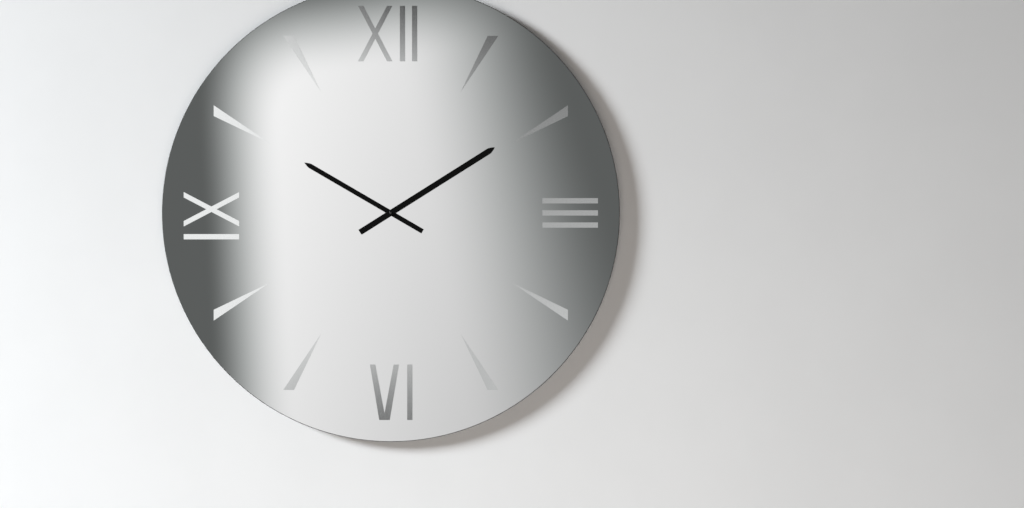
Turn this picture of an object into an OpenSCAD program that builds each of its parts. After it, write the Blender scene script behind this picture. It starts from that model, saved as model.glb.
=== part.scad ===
/* [Mirror dial] */
// Diameter of the round mirror dial
dial_d = 1000; // [950:10:1200]
// Thickness of the mirror glass
glass_t = 6; // [5:0.5:8]
// Width of the ground arris round the rim
arris = 1.5; // [0.5:0.1:2]
// Radius of the hole for the movement's bushing
glass_hole_r = 4.4; // [4.2:0.1:5]

/* [Numerals and wedges] */
// Thickness of the satin metal numerals and wedges
numeral_t = 0.8; // [0.5:0.1:2]
// Radius of the circle on which the numerals' inner ends lie
numeral_r = 331; // [310:1:335]
// Height of a numeral
numeral_h = 121; // [80:1:125]
// Width of a numeral's upright bar
bar_w = 11.5; // [8:0.5:14]
// Width of the flat ends of the X and V arms
arm_end_w = 11.8; // [8:0.2:14]
// Outer width of the letter X
x_w = 75; // [60:1:80]
// Distance between neighbouring upright bars
bar_pitch = 26.5; // [22:0.5:30]
// Outer width of the letter V at its open end
v_w = 63.6; // [54:0.2:70]
// Width of the letter V's flat foot
v_foot_w = 23; // [18:0.5:26]
// Height of the V's inner corner above its foot
v_inner_h = 15; // [12:0.5:20]
// Half side of the square on which the wedges' outer ends lie
wedge_square = 386.5; // [370:0.5:395]
// Width of a wedge along that square
wedge_w = 23.5; // [16:0.5:30]
// Radius at which a wedge comes to its point
wedge_tip_r = 305; // [280:1:330]

/* [Hands] */
// Thickness of both hands
hand_t = 0.8; // [0.6:0.1:1.2]
// Length of the minute hand from the shaft to its point
minute_len = 268; // [220:1:290]
// Width of the minute hand
minute_w = 12; // [10:0.5:16]
// Length of the hour hand from the shaft to its point
hour_len = 218; // [160:1:230]
// Width of the hour hand
hour_w = 10.4; // [9:0.2:14]
// Length of the square-cut tail of the minute hand
minute_tail = 79; // [50:1:90]
// Length of the square-cut tail of the hour hand
hour_tail = 80; // [50:1:90]
// Length of the point on each hand
point_len = 15; // [8:1:25]
// Radius of the flange of the hour hand's collet
collet_r = 4.2; // [3.9:0.1:4.4]
// Thickness of that flange
collet_t = 0.4; // [0.3:0.1:0.6]
// Where the minute hand points at rest, clockwise from twelve
minute_angle = 57.8; // [0:0.1:360]
// Where the hour hand points at rest, clockwise from twelve
hour_angle = 300.2; // [0:0.1:360]
// Space between the fixing bushing and the hour hand
hour_hand_gap = 0.4; // [0.3:0.1:1]
// Space between the hour hand's tube and the minute hand
minute_hand_gap = 2; // [1:0.1:4]

/* [Back board] */
// Diameter of the back board
board_d = 760; // [700:10:800]
// Thickness of the back board
board_t = 18; // [16:0.5:22]
// Width of the chamfer round the board's rear edge
board_chamfer = 8; // [2:1:12]
// Side of the opening round the movement
opening_w = 82; // [76:1:90]
// Corner radius of that opening
opening_r = 10; // [4:1:14]
// Thickness of the bonding tape between board and glass
tape_t = 1; // [0.8:0.1:1.5]
// Width of a strip of bonding tape
tape_w = 25; // [19:1:30]
// Distance between neighbouring strips of tape
tape_pitch = 120; // [110:1:130]
// Space between the ends of the tape and the board's rim
tape_edge = 25; // [15:1:40]
// Thickness of the felt ring that meets the wall
felt_t = 2; // [1.5:0.1:4]
// Width of the felt ring
felt_w = 30; // [15:1:40]
// Space between the felt ring and the board's chamfer
felt_edge = 8; // [4:1:20]

/* [Keyhole hangers] */
// Distance from one keyhole hanger to the other
hanger_span = 300; // [200:10:360]
// Height of the keyholes' round entries above the shaft
hanger_up = 220; // [160:5:240]
// Thickness of a keyhole plate
plate_t = 2; // [1.5:0.1:2.5]
// Width of a keyhole plate
plate_w = 18; // [16:1:24]
// Length of a keyhole plate
plate_len = 46; // [44:1:60]
// Radius of the round entry for a screw's head
entry_r = 4.5; // [4:0.1:5.5]
// Width of the slot for a screw's shank
slot_w = 4.6; // [4:0.1:5.4]
// Rise of the slot above the entry
slot_rise = 11; // [9:0.5:12]
// Depth of the routed pocket behind a plate
pocket_depth = 8; // [6:0.5:10]
// Radius of the wood screws' shanks
wood_screw_r = 1.6; // [1.4:0.1:2]
// Radius of their countersunk heads
wood_head_r = 3.2; // [2.8:0.1:3.4]
// Length of the wood screws
wood_screw_len = 12; // [10:1:14]

/* [Movement case] */
// Side of the movement's square case
case_w = 56; // [56:0.5:60]
// Depth of the case
case_d = 16; // [16:0.5:17]
// Corner radius of the case
case_r = 4; // [3:0.5:6]
// Wall of the case
case_wall = 1.2; // [1.1:0.1:1.3]
// Depth from the front face to the joint between the case's halves
case_split = 6; // [5.4:0.1:6.4]
// Outer radius of the fixing bushing
bushing_r = 3.85; // [3.8:0.01:4]
// Reach of the bushing beyond the fixing nut
bushing_over = 0.4; // [0.2:0.1:1]
// Thickness of the fixing washer
washer_t = 0.5; // [0.4:0.1:1]
// Radius of the fixing washer
washer_r = 6; // [5:0.1:6]
// Thickness of the fixing nut
nut_t = 2.5; // [2:0.1:3]
// Width across the flats of the fixing nut
nut_af = 10.4; // [10:0.1:11]
// Radius of the rubber gasket
gasket_r = 17; // [10:0.5:20]
// Height of the minute hand's cap nut
cap_nut_t = 2.2; // [1.8:0.1:3]
// Radius of the cap nut
cap_nut_r = 2.6; // [2.3:0.1:3.2]

/* [Battery] */
// Diameter of the battery cell
battery_d = 14.2; // [13.8:0.1:14.2]
// Length of the cell without its positive stud
battery_len = 49.2; // [48.6:0.1:49.4]
// Play round the cell
battery_play = 0.3; // [0.2:0.05:0.3]

/* [Wheels] */
// Module of the rotor's pinion, the intermediate wheel and the seconds wheel
fine_module = 0.22; // [0.21:0.005:0.225]
// Module of the centre wheel and the third pinion
centre_module = 0.32; // [0.31:0.005:0.32]
// Module of the cannon pinion, the motion wheel and the knob's pinion
motion_module = 0.5; // [0.48:0.01:0.5]
// Radius of the setting knob
knob_r = 6; // [5:0.1:7]
// Thickness of the setting knob
knob_t = 2.4; // [2:0.1:2.6]

/* [Hidden] */
$fn = 96;

// Clearances: a running shaft, a seated piece, a loose piece and a gap beside a wheel
run_fit = 0.05;
seat_fit = 0.02;
loose_fit = 0.1;
side_gap = 0.6;
// How far a cut runs past the face that it opens
past = 1;

// Levels from the wall to the front of the glass, measured along the shaft
board_back = felt_t;
board_front = board_back + board_t;
glass_back = board_front + tape_t;
glass_front = glass_back + glass_t;

// Levels of the fixing bushing, the hands and the cap nut
washer_front = glass_front + washer_t;
nut_front = washer_front + nut_t;
bushing_front = nut_front + bushing_over;
hour_hand_back = bushing_front + hour_hand_gap;
hour_tube_end = hour_hand_back + hand_t + collet_t;
minute_hand_back = hour_tube_end + minute_hand_gap;
minute_hand_front = minute_hand_back + hand_t;
cap_nut_front = minute_hand_front + cap_nut_t;

// Levels of the movement, whose front face lies level with the board's
move_front = board_front;
move_back = move_front - case_d;
in_front = move_front - case_wall;
in_back = move_back + case_wall;
split = move_front - case_split;
pivot_depth = case_wall * 0.6;
disc_t = 0.8;

// Levels of the wheels, from the dial side to the rear
hour_disc_front = in_front - 0.4;
hour_disc_t = 1;
hour_disc_back = hour_disc_front - hour_disc_t;
motion_front = hour_disc_back - side_gap;
motion_t = 0.9;
motion_back = motion_front - motion_t;
spring_h = 0.7;
cannon_over = 0.2;
cannon_back = motion_back - cannon_over;
centre_front = cannon_back - spring_h;
centre_back = centre_front - disc_t;
third_front = centre_back - disc_t;
third_back = third_front - disc_t;
plate_front = third_back - side_gap;
plate_back = plate_front - disc_t;
magnet_front = plate_back - side_gap;
magnet_t = 2.2;
magnet_back = magnet_front - magnet_t;
stator_t = 0.8;
stator_back = magnet_back + (magnet_t - stator_t) / 2;
stator_front = stator_back + stator_t;
seconds_front = magnet_back;
seconds_back = seconds_front - disc_t;
inter_back = in_back + 0.7;
inter_front = inter_back + disc_t;
pinion_over = 0.2;
clutch_ring_t = 0.25;
arbor_back = centre_back - clutch_ring_t - seat_fit;

// Teeth of the time train, which turns thirty times from the rotor to the seconds wheel and
// sixty times from the seconds wheel to the centre wheel
rotor_teeth = 12;
inter_teeth = 60;
inter_pinion_teeth = 10;
seconds_teeth = 60;
seconds_pinion_teeth = 8;
third_teeth = 60;
third_pinion_teeth = 8;
centre_teeth = 64;

// Teeth of the motion work, which turns twelve times from the minute arbor to the hour wheel
cannon_teeth = 12;
motion_teeth = 36;
motion_pinion_teeth = 10;
hour_teeth = 40;
knob_teeth = cannon_teeth;

// Gear rules: pressure angle, height of a tooth's head and foot, and thinning for play
pressure_angle = 25;
head_k = 0.9;
foot_k = 1.25;
thin_k = 0.1;
flank_steps = 2;

// Axes of the wheels, seen from the front with the main shaft at the origin
third_module = centre_module * (centre_teeth + third_pinion_teeth)
    / (third_teeth + seconds_pinion_teeth);
motion_dist = motion_module * (cannon_teeth + motion_teeth) / 2;
hour_module = 2 * motion_dist / (motion_pinion_teeth + hour_teeth);
third_dist = centre_module * (centre_teeth + third_pinion_teeth) / 2;
inter_dist = fine_module * (seconds_teeth + inter_pinion_teeth) / 2;
rotor_dist = fine_module * (inter_teeth + rotor_teeth) / 2;
third_dir = 150;
inter_dir = 120;
rotor_dir = 60;
motion_dir = 60;
knob_dir = 0;
third_at = polar(third_dist, third_dir);
inter_at = polar(inter_dist, inter_dir);
rotor_at = inter_at + polar(rotor_dist, rotor_dir);
motion_at = polar(motion_dist, motion_dir);
knob_at = motion_at + polar(motion_dist, knob_dir);

// Angles of the hands from the +X direction, turning left
minute_dir = 90 - minute_angle;
hour_dir = 90 - hour_angle;

// Angle of the first tooth of each gear, so that every pair is in mesh at rest
motion_phase = mesh_phase(minute_dir, cannon_teeth, motion_teeth, motion_dir);
knob_phase = mesh_phase(motion_phase, motion_teeth, knob_teeth, knob_dir);
hour_phase = mesh_phase(0, motion_pinion_teeth, hour_teeth, motion_dir + 180);
third_pinion_phase = mesh_phase(0, centre_teeth, third_pinion_teeth, third_dir);
seconds_pinion_phase = mesh_phase(0, third_teeth, seconds_pinion_teeth, third_dir + 180);
inter_pinion_phase = mesh_phase(0, seconds_teeth, inter_pinion_teeth, inter_dir);
rotor_phase = mesh_phase(0, inter_teeth, rotor_teeth, rotor_dir);

// Radii of the arbors, their pivots and the tubes on the main shaft
pivot_r = 0.3;
arbor_r = 0.5;
stem_r = 1.8;
motion_pivot_r = 0.6;
knob_pivot_r = 0.8;
minute_r = 1.77;
minute_rear_r = 1.5;
minute_seat_r = 1.7;
minute_flat = 1.35;
thread_r = 1.3;
tube_bore_r = minute_r + run_fit;
tube_r = 2.9;
tube_seat_r = 2.5;
collet_sleeve_r = 3.3;
bushing_bore_r = tube_r + run_fit;
clutch_ring_r = 2.2;
seconds_reach = 10;

// Inside of the case, the battery bay and the pillars that clamp the train plate
case_in = case_w / 2 - case_wall;
in_corner_r = 2.8;
case_chamfer = 0.8;
bay_wall_t = 0.8;
battery_r = battery_d / 2;
battery_y = -case_in + battery_play + battery_r;
bay_top = battery_y + battery_r + battery_play;
bay_wall_top = bay_top + bay_wall_t;
battery_z = move_back + battery_play + battery_r;
bay_open_w = 51.8;
stud_r = 2.6;
stud_len = 1.1;
battery_x = -(battery_len + stud_len) / 2;
pillar_r = 1.5;
pillar_neck_r = 1;
pillar_x = case_in - 3.3;
pillar_top = 15;
pillar_low = bay_wall_top + 3.2;
pillars = [for (x = [-pillar_x, pillar_x], y = [pillar_low, pillar_top]) [x, y]];

// The stepping motor: coil across the top, stator round the rotor's magnet
magnet_r = 3;
stator_hole_r = 3.5;
stator_lobe_r = 5.2;
stator_bar_w = 4;
leg_w = 3.6;
leg_x = 13.2;
coil_y = case_in - 4.2;
core_t = stator_t;
core_z = stator_front + core_t / 2;
core_w = 3.2;
bobbin_r = 2.2;
flange_w = 8;
flange_t = 0.8;
winding_r = 3.6;
bobbin_half = leg_x - leg_w / 2 - 0.4;
motor_screw_r = 0.8;
motor_head_r = 1.5;
motor_head_t = 0.8;
post_r = 1.9;

// Circuit board on the left pillars, and the contact strips that reach it
board_low = in_back + 2;
circuit_t = 0.8;
circuit_top = board_low + circuit_t;
circuit_w = 7.4;
circuit_x = -case_in + 0.3;
circuit_end = case_in - 2.4;
strip_t = 0.3;
strip_w = 1.6;
strip_z = circuit_top + 0.2;
notch_play = 0.15;
crystal_r = 1;
crystal_len = 6;
crystal_at = [circuit_x + 4.2, 8];
chip_at = [circuit_x + 3.8, 0];
chip_r = 2.4;
chip_h = 1;

// The latches that hold the two halves of the case together
latch_w = 6;
latch_t = 0.9;
latch_y = 12;
latch_back = split - 4;
latch_front = split + 3.6;
latch_root = 2.4;
nub_w = 3.6;
nub_z = split + 1.2;
nub_t = 1.7;

// Both contacts stand a little off the side walls of the battery bay
contact_x = case_in - loose_fit;

// Middle of a keyhole plate above the centre of its entry
plate_middle = slot_rise / 2 - 0.5;

// The hour wedges stand on the thirty degree rays
ray_k = tan(30);

// A point given by its distance and direction
function polar(r, a) = [r * cos(a), r * sin(a)];

// Phase of a gear that must mesh with a neighbour lying towards it along dir
function mesh_phase(phase, teeth, other_teeth, dir) =
    dir + 180 - (phase - dir) * teeth / other_teeth + 180 / other_teeth;

// Pinions with few teeth are made larger by this share of the module, their wheels smaller
function pinion_shift(teeth) = max(0, 1.06 - teeth * pow(sin(pressure_angle), 2) / 2);

// The involute of an angle, in degrees
function involute(a) = tan(a) * 180 / PI - a;

// Half of a tooth's angle at radius r
function tooth_half(r, teeth, module_size, shift) =
    let (pitch_r = module_size * teeth / 2,
         width = module_size * (PI / 2 + 2 * shift * tan(pressure_angle) - thin_k),
         base_r = pitch_r * cos(pressure_angle))
    width / 2 / pitch_r * 180 / PI + involute(pressure_angle) - involute(acos(base_r / r));

// One tooth as pairs of radius and angle, from its left foot over its head to its right foot
function tooth_side(teeth, module_size, shift) =
    let (pitch_r = module_size * teeth / 2,
         head_r = pitch_r + module_size * (head_k + shift),
         foot_r = pitch_r - module_size * (foot_k - shift),
         base_r = pitch_r * cos(pressure_angle),
         start_r = max(base_r, foot_r) + 0.0001,
         flank = [for (i = [0:flank_steps]) let (r = start_r + (head_r - start_r) * i / flank_steps)
             [r, tooth_half(r, teeth, module_size, shift)]])
    foot_r < base_r ? concat([[foot_r, flank[0][1]]], flank) : flank;

function gear_points(teeth, module_size, shift, phase) =
    let (side = tooth_side(teeth, module_size, shift), last = len(side) - 1)
    [for (k = [0:teeth - 1]) let (mid = phase + k * 360 / teeth)
        for (i = [0:2 * last + 1])
            i <= last ? polar(side[i][0], mid - side[i][1])
                : polar(side[2 * last + 1 - i][0], mid + side[2 * last + 1 - i][1])];

// Turns the drawing of the dial, seen from the front, up against the wall
module stand() {
    rotate([90, 0, 0]) children();
}

// A solid between two levels of the shaft
module between(low, high) {
    translate([0, 0, low]) linear_extrude(high - low) children();
}

// A round pin between two levels of the shaft
module pin(r, low, high) {
    translate([0, 0, low]) cylinder(h = high - low, r = r);
}

module at(place) {
    translate([place[0], place[1], 0]) children();
}

module rounded_plan(w, h, r) {
    square([w - 2 * r, h], center = true);
    square([w, h - 2 * r], center = true);
    for (x = [-1, 1], y = [-1, 1]) translate([x * (w / 2 - r), y * (h / 2 - r)]) circle(r);
}

// A square plate with rounded corners and a chamfer round its rear edge
module eased_plate(w, r, chamfer, low, high) {
    between(low + chamfer, high) rounded_plan(w, w, r);
    for (turn = [0, 90]) rotate(turn) translate([0, w / 2 - r, 0]) rotate([90, 0, 0])
        linear_extrude(w - 2 * r) polygon([[chamfer - w / 2, low], [w / 2 - chamfer, low],
            [w / 2, low + chamfer], [-w / 2, low + chamfer]]);
    for (x = [-1, 1], y = [-1, 1]) translate([x * (w / 2 - r), y * (w / 2 - r), low])
        cylinder(h = chamfer, r1 = r - chamfer, r2 = r);
}

module gear(teeth, module_size, shift, phase, low, high) {
    between(low, high) polygon(gear_points(teeth, module_size, shift, phase));
}

// A wheel whose web is thinned between its hub and its rim on the dial side
module wheel(teeth, module_size, shift, phase, low, high, hub_r) {
    web_cut = 0.2;
    rim_r = module_size * (teeth / 2 - 3);
    difference() {
        gear(teeth, module_size, shift, phase, low, high);
        difference() {
            pin(rim_r, high - web_cut, high + past);
            pin(hub_r, high - web_cut - past, high + 2 * past);
        }
    }
}

// Felt ring glued to the back board, the only thing that meets the wall
module wall_felt() color("dimgray") stand() {
    outer_r = board_d / 2 - board_chamfer - felt_edge;
    between(0, felt_t) difference() {
        circle(outer_r);
        circle(outer_r - felt_w);
    }
}

module at_hangers() {
    for (x = [-1, 1]) translate([x * hanger_span / 2, hanger_up, 0]) children();
}

// The wood screws sit at both ends of a keyhole plate
module at_plate_screws() {
    for (y = [-1, 1]) translate([0, plate_middle + y * (plate_len / 2 - 5), 0]) children();
}
module keyhole_plan(entry, slot) {
    circle(entry);
    translate([-slot / 2, 0]) square([slot, slot_rise]);
    translate([0, slot_rise]) circle(slot / 2);
}

// Round board of dyed fibreboard, with a chamfered rear edge and routed pockets
module back_board() color([0.09, 0.09, 0.1]) stand() difference() {
    r = board_d / 2;
    rotate_extrude() polygon([[0, board_back], [r - board_chamfer, board_back],
        [r, board_back + board_chamfer], [r, board_front], [0, board_front]]);
    between(board_back - past, board_front + past) rounded_plan(opening_w, opening_w, opening_r);
    at_hangers() {
        between(board_back - past, board_back + plate_t) translate([0, plate_middle])
            rounded_plan(plate_w + 2 * seat_fit, plate_len + 2 * seat_fit, 3);
        between(board_back, board_back + plate_t + pocket_depth)
            keyhole_plan(entry_r + 1, 2 * entry_r + 2);
        at_plate_screws() {
            pin(wood_screw_r + seat_fit, board_back, board_back + wood_screw_len + 0.5);
            countersink(seat_fit);
        }
    }
}

// Steel plates let in flush behind the board, each with a round entry and a slot above it
module keyhole_plates() color("silver") stand() at_hangers() difference() {
    between(board_back, board_back + plate_t) difference() {
        translate([0, plate_middle]) rounded_plan(plate_w, plate_len, 3);
        keyhole_plan(entry_r, slot_w);
    }
    at_plate_screws() {
        pin(wood_screw_r + seat_fit, board_back - past, board_back + plate_t + past);
        countersink(seat_fit);
    }
}

// The cone of a countersunk head, wider all round by the clearance
module countersink(clearance) {
    translate([0, 0, board_back]) cylinder(h = wood_head_r - wood_screw_r,
        r1 = wood_head_r + clearance, r2 = wood_screw_r + clearance);
}

module plate_screws() color("gainsboro") stand() at_hangers() at_plate_screws() difference() {
    tip = 2.5;
    recess_w = 0.8;
    union() {
        countersink(0);
        pin(wood_screw_r, board_back, board_back + wood_screw_len - tip);
        translate([0, 0, board_back + wood_screw_len - tip])
            cylinder(h = tip, r1 = wood_screw_r, r2 = 0.2);
    }
    for (a = [0, 90]) rotate(a) between(board_back - past, board_back + 0.9)
        square([wood_head_r * 1.2, recess_w], center = true);
}

// Vertical strips of foam tape, as long as the board allows
module bonding_tape() color("white") stand() between(board_front, glass_back) {
    reach = board_d / 2 - tape_edge;
    for (i = [-2.5:1:2.5]) {
        x = i * tape_pitch;
        half = sqrt(pow(reach, 2) - pow(abs(x) + tape_w / 2, 2));
        translate([x - tape_w / 2, -half]) square([tape_w, 2 * half]);
    }
}

// Mirror glass, silvered behind, with a ground arris on both edges of its rim
module mirror_dial() color([0.55, 0.57, 0.58]) stand() {
    r = dial_d / 2;
    rotate_extrude() polygon([[glass_hole_r, glass_back], [r - arris, glass_back],
        [r, glass_back + arris], [r, glass_front - arris], [r - arris, glass_front],
        [glass_hole_r, glass_front]]);
}

// Letters stand on their baseline, centred on their own middle
module letter_bar() {
    translate([-bar_w / 2, 0]) square([bar_w, numeral_h]);
}

module letter_x() {
    reach = x_w / 2;
    inner = reach - arm_end_w;
    side = arm_end_w / 2;
    middle = numeral_h / 2;
    crotch = side * numeral_h / (x_w - arm_end_w);
    polygon([[-reach, 0], [-inner, 0], [0, middle - crotch], [inner, 0], [reach, 0],
        [side, middle], [reach, numeral_h], [inner, numeral_h], [0, middle + crotch],
        [-inner, numeral_h], [-reach, numeral_h], [-side, middle]]);
}

module letter_v() {
    top = v_w / 2;
    foot = v_foot_w / 2;
    polygon([[-foot, 0], [foot, 0], [top, numeral_h], [top - arm_end_w, numeral_h],
        [0, v_inner_h], [arm_end_w - top, numeral_h], [-top, numeral_h]]);
}

// A numeral cut from satin metal and bonded to the glass
module numeral() {
    color("gainsboro") stand() between(glass_front, glass_front + numeral_t) children();
}

module numeral_xii() numeral() translate([0, numeral_r]) {
    x_at = -34;
    first_bar = 25.5;
    translate([x_at, 0]) letter_x();
    for (i = [0, 1]) translate([first_bar + i * bar_pitch, 0]) letter_bar();
}

module numeral_iii() numeral() rotate(-90) translate([0, numeral_r])
    for (i = [-1:1]) translate([i * bar_pitch, 0]) letter_bar();

module numeral_vi() numeral() translate([0, -numeral_r - numeral_h]) {
    v_at = -13.8;
    bar_at = 41.5;
    translate([v_at, 0]) letter_v();
    translate([bar_at, 0]) letter_bar();
}

module numeral_ix() numeral() rotate(90) translate([0, numeral_r]) {
    x_at = 8;
    bar_at = -52;
    translate([x_at, 0]) letter_x();
    translate([bar_at, 0]) letter_bar();
}

// One wedge near twelve, with its outer end cut level
module wedge() {
    middle = wedge_square * ray_k;
    polygon([[middle - wedge_w / 2, wedge_square], polar(wedge_tip_r, 60),
        [middle + wedge_w / 2, wedge_square]]);
}

module hour_wedges() numeral() for (quarter = [0:90:270]) rotate(quarter) {
    wedge();
    mirror([1, 0]) wedge();
}

// A flat hand along +X, with a square tail and an arched point
module hand_plan(length, tail, width) {
    shoulder = length - point_len;
    half = width / 2;
    arch = [for (t = [0:0.2:1]) [shoulder + point_len * t, half * (1 - pow(t, 1.4))]];
    polygon(concat([[-tail, half]], arch, [for (i = [4:-1:0]) [arch[i][0], -arch[i][1]]],
        [[-tail, -half]]));
}

module hour_hand() color([0.04, 0.04, 0.04]) stand() difference() {
    between(hour_hand_back, hour_hand_back + hand_t)
        rotate(hour_dir) hand_plan(hour_len, hour_tail, hour_w);
    pin(collet_sleeve_r + seat_fit, hour_hand_back - past, hour_tube_end);
    swage(seat_fit);
}

// The collet's rear end, spread into the hand and wider all round by the clearance
module swage(clearance) {
    spread = 0.3;
    translate([0, 0, hour_hand_back]) cylinder(h = spread,
        r1 = collet_sleeve_r + spread + clearance, r2 = collet_sleeve_r + clearance);
}

// Brass collet riveted in the hour hand, which grips the end of the hour wheel's tube
module hour_collet() color("goldenrod") stand() difference() {
    union() {
        swage(0);
        pin(collet_sleeve_r, hour_hand_back, hour_tube_end);
        pin(collet_r, hour_hand_back + hand_t, hour_tube_end);
    }
    pin(tube_seat_r + seat_fit, hour_hand_back - past, hour_tube_end + past);
}

// A circle with two flats, which stops the minute hand from slipping round
module flatted_circle(r, half) {
    intersection() {
        circle(r);
        square([3 * r, 2 * half], center = true);
    }
}

module minute_hand() color([0.04, 0.04, 0.04]) stand()
    between(minute_hand_back, minute_hand_front) rotate(minute_dir) difference() {
        hand_plan(minute_len, minute_tail, minute_w);
        flatted_circle(minute_seat_r + seat_fit, minute_flat + seat_fit);
    }

// Domed cap nut that closes the end of the shaft
module cap_nut() color([0.2, 0.2, 0.2]) stand() {
    dome = 0.7;
    bore = cap_nut_t - 0.6;
    rotate_extrude() polygon([[thread_r + seat_fit, minute_hand_front],
        [cap_nut_r, minute_hand_front], [cap_nut_r, cap_nut_front - dome],
        [cap_nut_r - dome * 0.3, cap_nut_front - dome * 0.3], [cap_nut_r - dome, cap_nut_front],
        [0, cap_nut_front], [0, minute_hand_front + bore],
        [thread_r + seat_fit, minute_hand_front + bore]]);
}

module gasket() color([0.12, 0.12, 0.12]) stand() between(move_front, glass_back) difference() {
    circle(gasket_r);
    circle(bushing_r + loose_fit);
}

module fixing_washer() color("goldenrod") stand() between(glass_front, washer_front) difference() {
    circle(washer_r);
    circle(bushing_r + loose_fit);
}

// Hexagon nut whose corners are eased on both faces
module fixing_nut() color("goldenrod") stand() difference() {
    flat_r = nut_af / 2;
    corner_r = flat_r / cos(30);
    eased_r = corner_r + seat_fit;
    ease = (eased_r - flat_r) * tan(30);
    intersection() {
        between(washer_front, nut_front) circle(corner_r, $fn = 6);
        rotate_extrude() polygon([[0, washer_front], [flat_r, washer_front],
            [eased_r, washer_front + ease], [eased_r, nut_front - ease], [flat_r, nut_front],
            [0, nut_front]]);
    }
    pin(bushing_r + seat_fit, washer_front - past, nut_front + past);
}

// Plan of the case's walls with the wall that fences off the battery
module case_walls() {
    difference() {
        rounded_plan(case_w, case_w, case_r);
        rounded_plan(2 * case_in, 2 * case_in, min(case_r - case_wall, in_corner_r));
    }
    translate([-case_in, bay_top]) square([2 * case_in, bay_wall_t]);
}

module at_latches() {
    for (side = [0, 180], y = [-1, 1]) rotate(side) translate([case_w / 2, y * latch_y, 0])
        children();
}

// Dial half of the case, with the bushing through which the hands are driven
module front_case() color([0.14, 0.14, 0.15]) stand() difference() {
    union() {
        between(in_front, move_front) rounded_plan(case_w, case_w, case_r);
        between(split, in_front) case_walls();
        pin(bushing_r, move_front, bushing_front);
        for (p = pillars) at(p) pin(pillar_r, plate_front, in_front);
        at_latches() translate([-past, -nub_w / 2, nub_z]) cube([past + 0.7, nub_w, nub_t]);
    }
    pin(bushing_bore_r, in_front - past, bushing_front + past);
    at(third_at) pin(pivot_r + run_fit, in_front - past, in_front + pivot_depth);
    at(motion_at) pin(motion_pivot_r + run_fit, in_front - past, in_front + pivot_depth);
    at(knob_at) pin(knob_pivot_r + run_fit, in_front - past, in_front + pivot_depth);
}

// Rear half of the case, open over the battery
module back_case() color([0.14, 0.14, 0.15]) stand() difference() {
    union() {
        eased_plate(case_w, case_r, case_chamfer, move_back, in_back);
        between(in_back, split) case_walls();
        for (p = pillars) at(p) {
            pin(pillar_r, in_back, board_low);
            pin(pillar_neck_r, board_low, plate_back);
        }
        for (x = [-leg_x, leg_x]) at([x, coil_y]) pin(post_r, in_back, stator_back);
        at_latches() {
            translate([-case_wall / 2, -latch_w / 2, latch_back])
                cube([case_wall / 2 + loose_fit + latch_t, latch_w, latch_root]);
            translate([loose_fit, 0, 0]) difference() {
                translate([0, -latch_w / 2, latch_back])
                    cube([latch_t, latch_w, latch_front - latch_back]);
                translate([-past, -nub_w / 2 - loose_fit, nub_z - loose_fit])
                    cube([latch_t + 2 * past, nub_w + 2 * loose_fit, nub_t + 2 * loose_fit]);
            }
        }
    }
    between(move_back - past, in_back + past)
        translate([-bay_open_w / 2, -case_in]) square([bay_open_w, bay_top + case_in]);
    at(knob_at) pin(stem_r + loose_fit, move_back - past, in_back + past);
    for (p = [[0, 0], inter_at, rotor_at]) at(p)
        pin(pivot_r + run_fit, in_back - pivot_depth, in_back + past);
    for (x = [-leg_x, leg_x]) at([x, coil_y])
        pin(motor_screw_r + seat_fit, stator_back - 3, stator_back + past);
    for (s = [-1, 1]) translate([s * (case_in - strip_t / 2 - loose_fit), 0, 0])
        between(strip_z - notch_play, strip_z + strip_w + notch_play)
            translate([-strip_t / 2 - notch_play, bay_top - past])
                square([strip_t + 2 * notch_play, bay_wall_t + 2 * past]);
}

// Hour wheel with the long tube that carries the hour hand
module hour_wheel() color("ivory") stand() difference() {
    union() {
        wheel(hour_teeth, hour_module, -pinion_shift(motion_pinion_teeth), hour_phase,
            hour_disc_back, hour_disc_front, tube_r + 1);
        pin(tube_r, hour_disc_back, hour_hand_back);
        pin(tube_seat_r, hour_disc_back, hour_tube_end);
    }
    pin(tube_bore_r, hour_disc_back - past, hour_tube_end + past);
}

// Minute arbor: seat for the friction clutch, cannon pinion, shaft, flats and threaded tip
module minute_arbor() color("khaki") stand() difference() {
    cannon_front = motion_front + pinion_over;
    union() {
        pin(minute_rear_r, arbor_back, cannon_front);
        gear(cannon_teeth, motion_module, 0, minute_dir, cannon_back, cannon_front);
        pin(minute_r, cannon_back, minute_hand_back);
        between(minute_hand_back, minute_hand_front) rotate(minute_dir)
            flatted_circle(minute_seat_r, minute_flat);
        pin(thread_r, cannon_front, minute_hand_front + cap_nut_t - 0.8);
    }
    pin(arbor_r + run_fit, arbor_back - past, centre_front + seconds_reach + 1);
}

// Cupped washer that presses the centre wheel on the arbor, so that the hands can be set
module clutch_spring() color("tan") stand() {
    spring_t = 0.2;
    spring_r = 2.6;
    inner = minute_rear_r + seat_fit;
    rotate_extrude() polygon([[inner, cannon_back - spring_t], [spring_r, centre_front],
        [spring_r, centre_front + spring_t], [inner, cannon_back]]);
}

module clutch_ring() color("silver") stand() between(arbor_back, centre_back - seat_fit)
    difference() {
        circle(clutch_ring_r);
        circle(minute_rear_r + seat_fit);
    }

module centre_wheel() color("ivory") stand() difference() {
    wheel(centre_teeth, centre_module, -pinion_shift(third_pinion_teeth), 0,
        centre_back, centre_front, 4);
    pin(minute_rear_r + run_fit, centre_back - past, centre_front + past);
}

module third_wheel() color("ivory") stand() at(third_at) {
    wheel(third_teeth, third_module, -pinion_shift(seconds_pinion_teeth), 0,
        third_back, third_front, 2.4);
    gear(third_pinion_teeth, centre_module, pinion_shift(third_pinion_teeth),
        third_pinion_phase, third_front, centre_front + pinion_over);
    pin(pivot_r, plate_back + 0.1, third_back);
    pin(arbor_r, plate_front + loose_fit, in_front - loose_fit);
    pin(pivot_r, in_front - side_gap, in_front + pivot_depth - loose_fit);
}

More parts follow.
